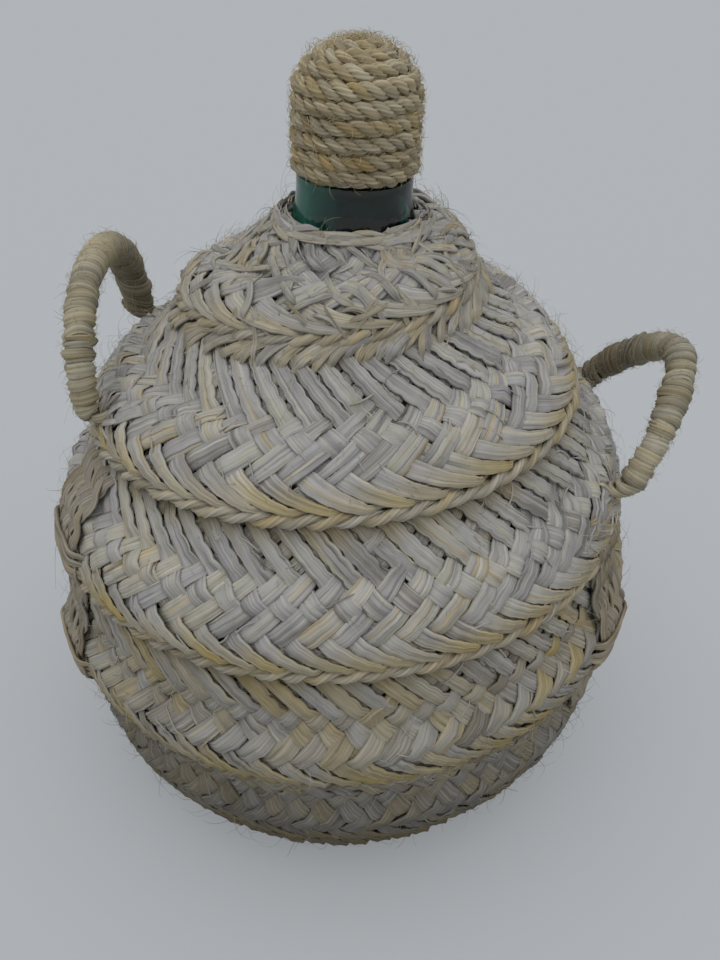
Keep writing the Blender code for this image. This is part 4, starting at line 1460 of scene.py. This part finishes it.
# %% [markdown]
# ## The bottle
#
# The bottle has a real wall of 4 mm, a pushed-flat base, and a bored mouth with a round lip. A skin
# without a wall would bend light as if the bottle were a solid lump. So its outline goes up the
# outside, over the lip, and down the inside, and the same run of places gives both faces.

# %% The wall of the bottle
wall = 0.0040
bore = neck_radius - 0.0050
lip_rise = 0.0012
places = np.linspace(0, glass_length, 90)
outer = np.column_stack(off_glass(places, 0.0))
inner = np.column_stack(off_glass(places[:-12], -wall))[::-1]
lip = np.linspace(0, np.pi, 9)
lip_ring = np.column_stack([
    (neck_radius + bore) / 2 + (neck_radius - bore) / 2 * np.cos(lip),
    mouth_height - lip_rise + lip_rise * np.sin(lip)])
bottle = np.vstack([
    [(0.0, glass_bottom)], outer, [(neck_radius, glass_bottom + glass_body_height + 0.002)], lip_ring,
    [(bore, glass_bottom + glass_body_height - 0.030)], inner[inner[:, 1] > glass_bottom + wall + 0.0001],
    [(outer[0, 0] - wall, glass_bottom + wall)], [(0.0, glass_bottom + wall)]])
bottle[(bottle[:, 0] < bore) & (bottle[:, 1] > 0.25), 0] = bore
turned("blown_bottle", bottle, green_glass, "vessel", "glass_bottle")

# %% [markdown]
# ## Cut cork
#
# Cork is the bark of an oak: light brown, matt, IOR left at the default, with a grain about 2 mm
# wide and dark pores a little larger. One noise would look like stone, so the grain and the pores
# are two patterns, and the pores are dents too. Below the mouth it is nearly black, which is what
# makes the glass look dark in front of it.

# %% The cork's bark
cork_bark = bpy.data.materials.new("cut_cork")
cork_bark.use_nodes = True
cork_tree = cork_bark.node_tree
cork_shader = cork_tree.nodes["Principled BSDF"]
cork_place = add_node(cork_tree, "ShaderNodeTexCoord")
cork_grain = add_node(cork_tree, "ShaderNodeTexNoise", {
    "Vector": cork_place.outputs["Object"], "Scale": 420.0, "Detail": 4.0, "Roughness": 0.6})
cork_pores = add_node(cork_tree, "ShaderNodeTexVoronoi", {
    "Vector": cork_place.outputs["Object"], "Scale": 260.0, "Randomness": 1.0})
cork_colour = add_node(cork_tree, "ShaderNodeValToRGB", {"Fac": cork_grain.outputs["Fac"]})
for element, position, colour in zip(cork_colour.color_ramp.elements, (0.35, 0.65), ("#8a6238", "#c39a63")):
    element.position, element.color = position, linear(colour)
cork_dark = add_node(cork_tree, "ShaderNodeMapRange", {
    "Value": cork_pores.outputs["Distance"],
    "From Min": 0.10, "From Max": 0.26, "To Min": 0.75, "To Max": 0.0})
cork_mixed = add_node(cork_tree, "ShaderNodeMix", {
    "Factor": cork_dark.outputs["Result"], "A": cork_colour.outputs["Color"], "B": linear("#4a3018")},
    data_type="RGBA")
cork_height = add_node(cork_tree, "ShaderNodeSeparateXYZ", {"Vector": cork_place.outputs["Object"]})
# Nearly black below the mouth of the bottle
cork_blackening = add_node(cork_tree, "ShaderNodeMapRange", {
    "Value": cork_height.outputs["Z"], "From Min": mouth_height - 0.004, "From Max": mouth_height + 0.001,
    "To Min": 0.93, "To Max": 0.0})
cork_blackened = add_node(cork_tree, "ShaderNodeMix", {
    "Factor": cork_blackening.outputs["Result"], "A": cork_mixed.outputs["Result"], "B": linear("#1c1410")},
    data_type="RGBA")
cork_relief = add_node(cork_tree, "ShaderNodeBump", {
    "Height": cork_pores.outputs["Distance"], "Distance": 0.0006, "Strength": 0.5})
cork_tree.links.new(cork_blackened.outputs["Result"], cork_shader.inputs["Base Color"])
cork_tree.links.new(cork_relief.outputs["Normal"], cork_shader.inputs["Normal"])
cork_shader.inputs["Roughness"].default_value = 0.8
print("material", cork_bark.name, "stained below", round(mouth_height, 4), "m")

# %% [markdown]
# ## The long cork
#
# The cork goes 30 mm down into the neck, where it is cut a little narrower, with a rounded foot that
# finds the bore. Above the mouth it goes on inside the winding as its core. It is one solid, so that
# nothing shows through when the stopper is pulled.

# %% The cork
cork_in_neck = 0.0300
cork_taper = 0.0032
cork_edge = 0.0020
cork_foot = mouth_height - cork_in_neck
cork_round = np.linspace(0, np.pi / 2, 7)[1:]
cork_outline = [(0.0, cork_foot), (cork_radius - cork_taper, cork_foot)]
cork_outline += [(cork_radius - cork_taper + cork_edge * np.sin(a), cork_foot + cork_edge * (1 - np.cos(a)))
                 for a in cork_round]
cork_outline += [(cork_radius, mouth_height), (cork_radius, mouth_height + 0.030),
                 (cork_radius * 0.85, mouth_height + 0.040), (0.0, mouth_height + 0.042)]
turned("long_cork", cork_outline, cork_bark, "stopper", "stopper_cork", steps=96)

# %% [markdown]
# ## Loose leaves
#
# Nothing made of dry grass is clean: single leaves lie over the plait where a strand has split. A
# particle system could scatter them, but they would cut through the laps. A loose leaf here follows
# the cover's surface, bends a little, and goes in under it at both ends. All leaves of a kind are
# made at once from arrays, and each is one thin tube of seven points round.

# %% Leaves that lie on the cover
leaf_thickness = 0.0008
leaf_across = np.array((-1.0, -0.5, 0.0, 0.5, 1.0, 0.5, -0.5))
leaf_arch = np.array((0.0, 0.45, 0.25, 0.45, 0.0, -0.4, -0.4))
leaf_sink = 0.0016
past_top = 0.0014


def lying_leaves(bearing, place, angle, length, width, bend, lift, level=None, points_along=15):
    """Rings for many leaves, from their middles, their angles from level, and how far they bend."""
    share = np.linspace(0, 1, points_along)[None, :]
    bearing, place, angle, length, width, bend, lift = [
        np.asarray(v, float)[:, None] for v in (bearing, place, angle, length, width, bend, lift)]
    heading = angle + bend * (share - 0.5)
    step = length / (points_along - 1)
    run, rise = np.cumsum(np.cos(heading) * step, axis=1), np.cumsum(np.sin(heading) * step, axis=1)
    run, rise = run - run.mean(axis=1)[:, None], rise - rise.mean(axis=1)[:, None]
    bearings = bearing + run / off_glass(place, 0.012)[0]
    places = np.minimum(place + rise, cover_top + past_top)
    if level is None:
        level = top_of_plait(bearings, np.minimum(places, cover_top - 0.001))
        for _ in range(3):
            level[:, 1:-1] = (level[:, :-2] + level[:, 1:-1] + level[:, 2:]) / 3
    else:
        level = np.asarray(level)[:, None] + 0 * share
    ends = smoothstep(np.minimum(share, 1 - share) / 0.20)
    path, out = on_cover(bearings, places, level + lift - leaf_sink * (1 - ends))
    across = unit(np.cross(out, unit(np.gradient(path, axis=1))))
    x = leaf_across[None, None, :] * (width / 2 * (0.3 + 0.7 * ends))[..., None]
    y = leaf_arch[None, None, :] * leaf_thickness
    return path[:, :, None, :] + x[..., None] * across[:, :, None, :] + y[..., None] * out[:, :, None, :]


def leaf_piece(name, rings, tint, gold, width, material, body, dirt_and_shade=0.0):
    """One piece from the rings of many leaves or hairs, with a tint and some gold for each."""
    marks = np.zeros(rings.shape[:3] + (4,))
    marks[..., 0] = tint[:, None, None]
    marks[..., 2] = gold[:, None, None]
    marks[..., 3] = dirt_and_shade + foot_grime_and_shade(rings[..., 2])
    return tubes_mesh(name, list(rings), list(marks), list(width), material, body, ())


print("a loose leaf is", leaf_thickness * 1000, "mm thick")

# %% [markdown]
# ## Split leaves
#
# Where a strand has been rubbed, a leaf of it splits and lies nearly along its neighbours. So the
# split leaves slant like the strands, two thirds of them down to the right and the rest up, and
# they are under 1.1 mm wide. Placed at random angles they would look like straw thrown over it.

# %% Split leaves over the plait
count = 420
bearing = rng.uniform(0, turn, count)
place = rng.uniform(0.035, cover_top - 0.006, count)
goes_down = rng.random(count) < 0.66
angle = np.radians(rng.normal(45, 12, count)) * np.where(goes_down, -1, 1)
width = rng.uniform(0.0005, 0.0011, count)
rings = lying_leaves(bearing, place, angle, rng.uniform(0.008, 0.020, count), width,
                     rng.normal(0, 0.9, count), rng.uniform(-0.0010, -0.0001, count))
leaf_piece("split_leaves", rings, rng.normal(0.42, 0.14, count), rng.uniform(0, 0.30, count), width,
           weathered_leaves, "vessel", dirt_and_shade=0.14)

# %% [markdown]
# ## The crumpled collar
#
# Beside the neck the plait is narrow and its weave is lost: hands that lift the bottle by the neck
# have pressed the strands flat and askew. A noise on the weave would only make it lumpy, so 95 short
# strands are laid over it, each turning as it goes, with their ends sunk.

# %% Crumpled strands on the collar
collar_count = 95
collar_depth = (0.004, 0.046)


def steps_along(heading, length):
    """How far round and up a strand has gone at each step, from its heading there."""
    return [np.cumsum(way(heading)) * length / (len(heading) - 1) for way in (np.cos, np.sin)]


def evened(level, reach):
    """Heights averaged with their neighbours, so that a strand bridges a step of the cover."""
    return np.convolve(np.pad(level, reach, "edge"), np.ones(2 * reach + 1) / (2 * reach + 1), "valid")


def collar_strand():
    """One crumpled strand somewhere on the collar."""
    share = np.linspace(0, 1, 22)
    heading = rng.choice((-1.0, -1.0, 1.0)) * rng.uniform(0.45, 1.1) + rng.normal(0, 1.1) * (share - 0.5)
    run, rise = steps_along(heading, rng.uniform(0.014, 0.030))
    places = np.minimum(cover_top - rng.uniform(*collar_depth) + rise - rise.mean(), cover_top - 0.001)
    bearings = rng.uniform(0, turn) + run / off_glass(places, 0.012)[0]
    ends = smoothstep(np.minimum(share, 1 - share) / 0.25)
    level = evened(top_of_plait(bearings, places), 3)
    path, out = on_cover(bearings, places, level + rng.uniform(-0.0006, 0.0010) - 0.0020 * (1 - ends))
    width = rng.uniform(0.0028, 0.0056) * (0.35 + 0.65 * ends)
    return laid_ribbon(path, out, width, 0.0020, 4, 0.00022, rng.uniform(0, 0.16), 0.12,
                       np.full(22, rng.normal(0, 0.2)))


piece_of("collar_strands", [collar_strand() for _ in range(collar_count)], weathered_leaves, "vessel", ())

# %% [markdown]
# ## The rim of the collar
#
# Round the neck the plait ends in a soft rim, where the last leaves are bent round and tucked in. It
# could be one rolled edge, but the real rim is a nest of single leaves. So 110 leaves are laid round
# it, nearly level, and higher off the glass the further they are from the edge. None goes more than
# 1.4 mm past the cover's top, because on the bare glass it would float.

# %% Leaves round the rim
count = 110
bearing = rng.uniform(0, turn, count)
inside = rng.uniform(0, 1, count)
place = cover_top + 0.0012 - 0.0085 * inside
width = rng.uniform(0.0016, 0.0038, count)
rings = lying_leaves(bearing, place, rng.normal(0, 0.16, count), rng.uniform(0.018, 0.044, count), width,
                     rng.normal(0, 0.35, count), rng.uniform(-0.0004, 0.0006, count),
                     fit_gap + 0.0024 + 0.0040 * smoothstep(inside * 1.5))
leaf_piece("rim_leaves", rings, rng.normal(0.36, 0.18, count), rng.uniform(0.0, 0.35, count), width,
           weathered_leaves, "vessel", dirt_and_shade=0.10)

# %% [markdown]
# ## Frayed strands over the topmost lip
#
# The last lip below the neck has come undone. Its strands no longer turn under the edge but fan out
# below it, side by side and all bending the same way. Random scraps there look chopped, so 94 of them
# are spaced evenly round, just under the lip, and 60 thin split leaves lie over them at all angles.

# %% Frayed strands
fan_strands = 94
loose_strands = 60


def frayed_strand(number):
    """A strand of the fan under the lip or, past those, a thin leaf that lies over it."""
    share = np.linspace(0, 1, 20)
    under = number < fan_strands
    start = (number + rng.uniform(-0.4, 0.4)) * turn / fan_strands if under else rng.uniform(0, turn)
    lip_place = lower_edge(start / turn + np.ceil(plait_end - 1.02 - start / turn))
    if under:
        heading = rng.normal(0.85, 0.16) - rng.normal(0.9, 0.3) * (share - 0.5)
        lean = rng.uniform(-0.0002, 0.0010)
        middle = rng.uniform(-0.0085, -0.0050)
        widest = rng.uniform(0.0036, 0.0060)
    else:
        heading = rng.choice((-1.0, -1.0, -1.0, 1.0)) * rng.uniform(0.15, 1.2)
        heading = heading + rng.normal(0, 1.1) * (share - 0.5)
        lean = rng.uniform(0.0, 0.0012)
        middle = rng.uniform(-0.003, 0.009)
        widest = rng.uniform(0.0012, 0.0034)
    run, rise = steps_along(heading, rng.uniform(0.019, 0.027))
    places = lip_place + middle + rise - rise.mean()
    bearings = start + run / off_glass(places, 0.012)[0]
    ends = smoothstep(np.minimum(share, 1 - share) / 0.25)
    level = evened(top_of_plait(bearings, np.minimum(places, lip_place - 0.0015) if under else places), 4)
    path, out = on_cover(bearings, places, level + lean - 0.0026 * (1 - ends))
    return laid_ribbon(path, out, widest * (0.35 + 0.65 * ends), 0.0020, 4, 0.00024, rng.uniform(0.0, 0.5),
                       rng.uniform(0.02, 0.25), np.full(20, rng.normal(0, 0.2)))


piece_of("frayed_strands", [frayed_strand(number) for number in range(fan_strands + loose_strands)],
         weathered_leaves, "vessel", ())

# %% [markdown]
# ## Leaves round the feet of the handles
#
# A handle's foot goes down through the cover, which is pushed apart there and closed again with
# leaves. Without them the rope would seem to be pushed into a smooth wall. Thirteen leaves stand
# round each foot like rays, and nine more lie below it, where the pull of the load opens the plait.

# %% Foot leaves
ray_leaves = 13
lower_leaves = 9
bearing, place, angle = [], [], []
for foot_place, line in ((left_place, left_line[0]), (right_place, right_line[0])):
    for end in (line[foot_steps], line[-foot_steps - 1]):
        rays = np.linspace(0, turn, ray_leaves, endpoint=False)
        below = np.radians(rng.normal(-75, 35, lower_leaves))
        for way in np.concatenate([rays, below]):
            reach = rng.uniform(0.009, 0.013) + 0.004 * max(0.0, -np.sin(way))
            bearing.append(np.arctan2(end[1], end[0]) + np.cos(way) * reach / np.hypot(end[0], end[1]))
            place.append(foot_place - 0.0025 + np.sin(way) * reach)
            angle.append(way + rng.normal(0, 0.2))
count = len(bearing)
width = rng.uniform(0.0020, 0.0040, count)
rings = lying_leaves(bearing, place, angle, rng.uniform(0.012, 0.018, count), width,
                     rng.normal(0, 0.4, count), rng.uniform(-0.0006, 0.0004, count))
leaf_piece("foot_leaves", rings, rng.normal(0.40, 0.15, count), rng.uniform(0.0, 0.30, count), width,
           weathered_leaves, "vessel")

# %% [markdown]
# ## Many hairs at once
#
# Esparto is stripped by hand, and its fibres stand off every cord. Blender's hair would draw them
# well, but it isn't a mesh, and the exported model would be bald. So a hair is a tube of three
# sides that gets thinner to its tip. It starts along the surface, lifts and curls as it goes. All
# hairs of a piece are worked out together, which is much faster than one by one.

# %% Hairs
hair_widths = (0.00012, 0.00030)


def hairs(root, along_way, out_way, length, width, curl, rise, points_along=8):
    """Rings for many hairs: they start along one way, and lift and curl as they go."""
    share = np.linspace(0, 1, points_along)[None, :, None]
    side_way = unit(np.cross(out_way, along_way))[:, None, :]
    length, width, curl, rise = [np.asarray(v)[:, None, None] for v in (length, width, curl, rise)]
    path = (root[:, None, :] + along_way[:, None, :] * length * (share - 0.3 * np.abs(curl) * share**2)
            + side_way * curl * length * share**2 + out_way[:, None, :] * rise * length * np.sin(share * 2.2))
    way = unit(np.gradient(path, axis=1))
    across = unit(np.cross(out_way[:, None, :], way))
    up = np.cross(way, across)
    taper = 1 - share * 0.7
    corner = turn * np.arange(3) / 3
    x = width * taper / 2 * np.cos(corner)[None, None, :]
    y = width * taper / 2 * np.sin(corner)[None, None, :]
    return path[:, :, None, :] + x[..., None] * across[:, :, None, :] + y[..., None] * up[:, :, None, :]


def hair_ways(out, tilt):
    """A random way along the surface for each way out of it, tilted out a little."""
    random_way = rng.normal(0, 1, out.shape)
    along_way = unit(random_way - out * (random_way * out).sum(axis=1)[:, None])
    return unit(along_way + out * rng.uniform(0, tilt, len(out))[:, None])


def hair_piece(name, point, out, longest, material, body, tilt=0.5):
    """Hairs of all lengths up to the longest, rooted at these points."""
    count = len(point)
    width = rng.uniform(*hair_widths, count)
    rings = hairs(point, hair_ways(out, tilt), out, rng.uniform(0.25, 1.0, count) * longest, width,
                  rng.normal(0, 0.7, count), rng.uniform(0.0, 0.45, count))
    tint, gold = rng.normal(0.45, 0.2, count), rng.uniform(0, 0.6, count)
    leaf_piece(name, rings, tint, gold, width, material, body)


print("hairs are", [round(v * 1000, 2) for v in hair_widths], "mm thick at the root, from least to most")

# %% [markdown]
# ## Hairs on the cover and the handles
#
# The cover's hairs are the longest, up to 14 mm, because its leaves are whole. The handles are
# rubbed by hands, so theirs are under 7 mm. Each hair is rooted in the surface that its strand has:
# on the cover at the outer face of the plait, on a handle at half its thickness there.

# %% Hairs of the cover and the handles
longest_cover_hair = 0.014
longest_handle_hair = 0.0065
hairs_a_handle = 800
count = 4200
bearing = rng.uniform(0, turn, count)
place = rng.uniform(0.035, cover_top, count)
point, out = on_cover(bearing, place, top_of_plait(bearing, place))
hair_piece("cover_hairs", point, out, longest_cover_hair, weathered_leaves, "vessel")

for word, (line, at, thick) in (("left", left_line), ("right", right_line)):
    stops = rng.uniform(0.010, at[-1] - 0.010, hairs_a_handle)
    centre = at_stops(stops, at, line)
    way = unit(at_stops(stops + 0.002, at, line) - at_stops(stops - 0.002, at, line))
    random_way = rng.normal(0, 1, centre.shape)
    out = unit(random_way - way * (random_way * way).sum(axis=1)[:, None])
    surface = centre + out * (np.interp(stops, at, thick)[:, None] / 2 - 0.0004)
    hair_piece(word + "_handle_hairs", surface, out, longest_handle_hair, served_leaves,
               word + "_handle")

# %% [markdown]
# ## Hairs on the stopper
#
# The stopper is twisted and pulled by its cord, so it is the hairiest piece of all, with a fuzz of
# short hairs. They root along its side and over its round top, 1 mm deep, so that none starts in
# the air between two rows.

# %% Hairs of the stopper
longest_stopper_hair = 0.0052
root_depth = 0.0010
count = 1800
height = rng.uniform(0.001, 0.053, count)
straight = stopper_tall - stopper_round - stopper_thick / 2
quarter = np.clip((height - straight) / stopper_round, 0, 1) * np.pi / 2
level = mouth_height + np.minimum(height, straight) + (stopper_round + stopper_thick / 2) * np.sin(quarter)
radius = (cork_radius + stopper_thick) * np.cos(quarter) ** 0.8
bearing = rng.uniform(0, turn, count)
facing = [np.cos(bearing) * np.cos(quarter), np.sin(bearing) * np.cos(quarter), np.sin(quarter)]
out = unit(np.stack(facing, -1))
point = np.stack([radius * np.cos(bearing), radius * np.sin(bearing), level], -1) - out * root_depth
hair_piece("stopper_hairs", point, out, longest_stopper_hair, golden_cord, "stopper")

# %% [markdown]
# ## The camera
#
# The photograph was taken from above and close: the stopper looks large, and the body grows towards
# the lens. A long lens from far off would show the same pieces in the wrong sizes. So the camera is
# 0.42 m before the axis and 0.47 m up, and looks 54.5 degrees up from straight down. It also turns
# about its view by 2.3 degrees, because the photograph wasn't taken quite level.

# %% Camera
camera_data = bpy.data.cameras.new("camera")
camera_data.sensor_width = 36.0
camera_data.lens = 33.75
camera = bpy.data.objects.new("camera", camera_data)
camera.location = (0.008, -0.417, 0.465)
pitch, roll = np.radians(54.5), np.radians(2.33)
camera.rotation_mode = "QUATERNION"
camera.rotation_quaternion = (Matrix.Rotation(pitch, 3, "X") @ Matrix.Rotation(roll, 3, "Z")).to_quaternion()
bpy.context.scene.collection.objects.link(camera)
bpy.context.scene.camera = camera
print(f"the camera is {np.linalg.norm(camera.location):.2f} m from the foot of the bottle")

# %% [markdown]
# ## The floor
#
# A plain pale floor, matt and without gloss, carries the soft shadow under the body. More lamps
# would make it paler, but they would bleach the leaves too. So a part of its colour is a faint glow,
# which only the camera, mirrors and glass see. The glow lights nothing, and the shadow stays.

# %% Floor
floor_half = 4.0
glow_share = 0.45
floor_mesh = bpy.data.meshes.new("floor")
floor_mesh.from_pydata([(x * floor_half, y * floor_half, 0) for x, y in ((-1, -1), (1, -1), (1, 1), (-1, 1))],
                       [], [(0, 1, 2, 3)])
floor = bpy.data.objects.new("floor", floor_mesh)
bpy.context.scene.collection.objects.link(floor)
floor_paint = bpy.data.materials.new("pale_floor")
floor_paint.use_nodes = True
floor_tree = floor_paint.node_tree
floor_shader = floor_tree.nodes["Principled BSDF"]
floor_shader.inputs["Base Color"].default_value = linear("#b4b8bb")
floor_shader.inputs["Roughness"].default_value = 1.0
floor_shader.inputs["Specular IOR Level"].default_value = 0.0
floor_glow = add_node(floor_tree, "ShaderNodeEmission", {"Color": linear("#b1b5b9")})
floor_ray = add_node(floor_tree, "ShaderNodeLightPath")
seen_or_mirrored = add_node(floor_tree, "ShaderNodeMath", {
    0: floor_ray.outputs["Is Camera Ray"], 1: floor_ray.outputs["Is Glossy Ray"]}, operation="ADD")
seen_any_way = add_node(floor_tree, "ShaderNodeMath", {
    0: seen_or_mirrored.outputs["Value"], 1: floor_ray.outputs["Is Transmission Ray"]}, operation="ADD",
    use_clamp=True)
floor_share = add_node(floor_tree, "ShaderNodeMath", {0: seen_any_way.outputs["Value"], 1: glow_share},
                       operation="MULTIPLY")
floor_mixed = add_node(floor_tree, "ShaderNodeMixShader", {
    "Fac": floor_share.outputs["Value"], 1: floor_shader.outputs["BSDF"], 2: floor_glow.outputs["Emission"]})
floor_tree.links.new(floor_mixed.outputs["Shader"], floor_tree.nodes["Material Output"].inputs["Surface"])
floor_mesh.materials.append(floor_paint)
print("the floor is", 2 * floor_half, "m wide, and", glow_share, "of what is seen of it is glow")

# %% [markdown]
# ## Sky and lamp
#
# The photograph was taken in soft light from above. A studio would use a softbox, and a small lamp
# would throw hard shadows into every crossing. Here a pale sky does most of it, and one sun lamp,
# 70 degrees wide, gives the shadow its direction. Both stay at a plain level, at which a colour
# renders about as it is written.

# %% Light
sky_strength = 0.62
world = bpy.data.worlds.new("pale_sky")
bpy.context.scene.world = world
world.use_nodes = True
world.node_tree.nodes["Background"].inputs["Color"].default_value = linear("#f4f5f7")
world.node_tree.nodes["Background"].inputs["Strength"].default_value = sky_strength
lamp_data = bpy.data.lights.new("wide_soft_lamp", "SUN")
lamp_data.angle = np.radians(70)
lamp_data.energy = 1.25
lamp = bpy.data.objects.new("wide_soft_lamp", lamp_data)
lamp.rotation_euler = (np.radians(12), np.radians(-4), 0.0)
bpy.context.scene.collection.objects.link(lamp)
bpy.context.scene.view_settings.view_transform = "Standard"
print("sky at", sky_strength, "and lamp at", lamp_data.energy)
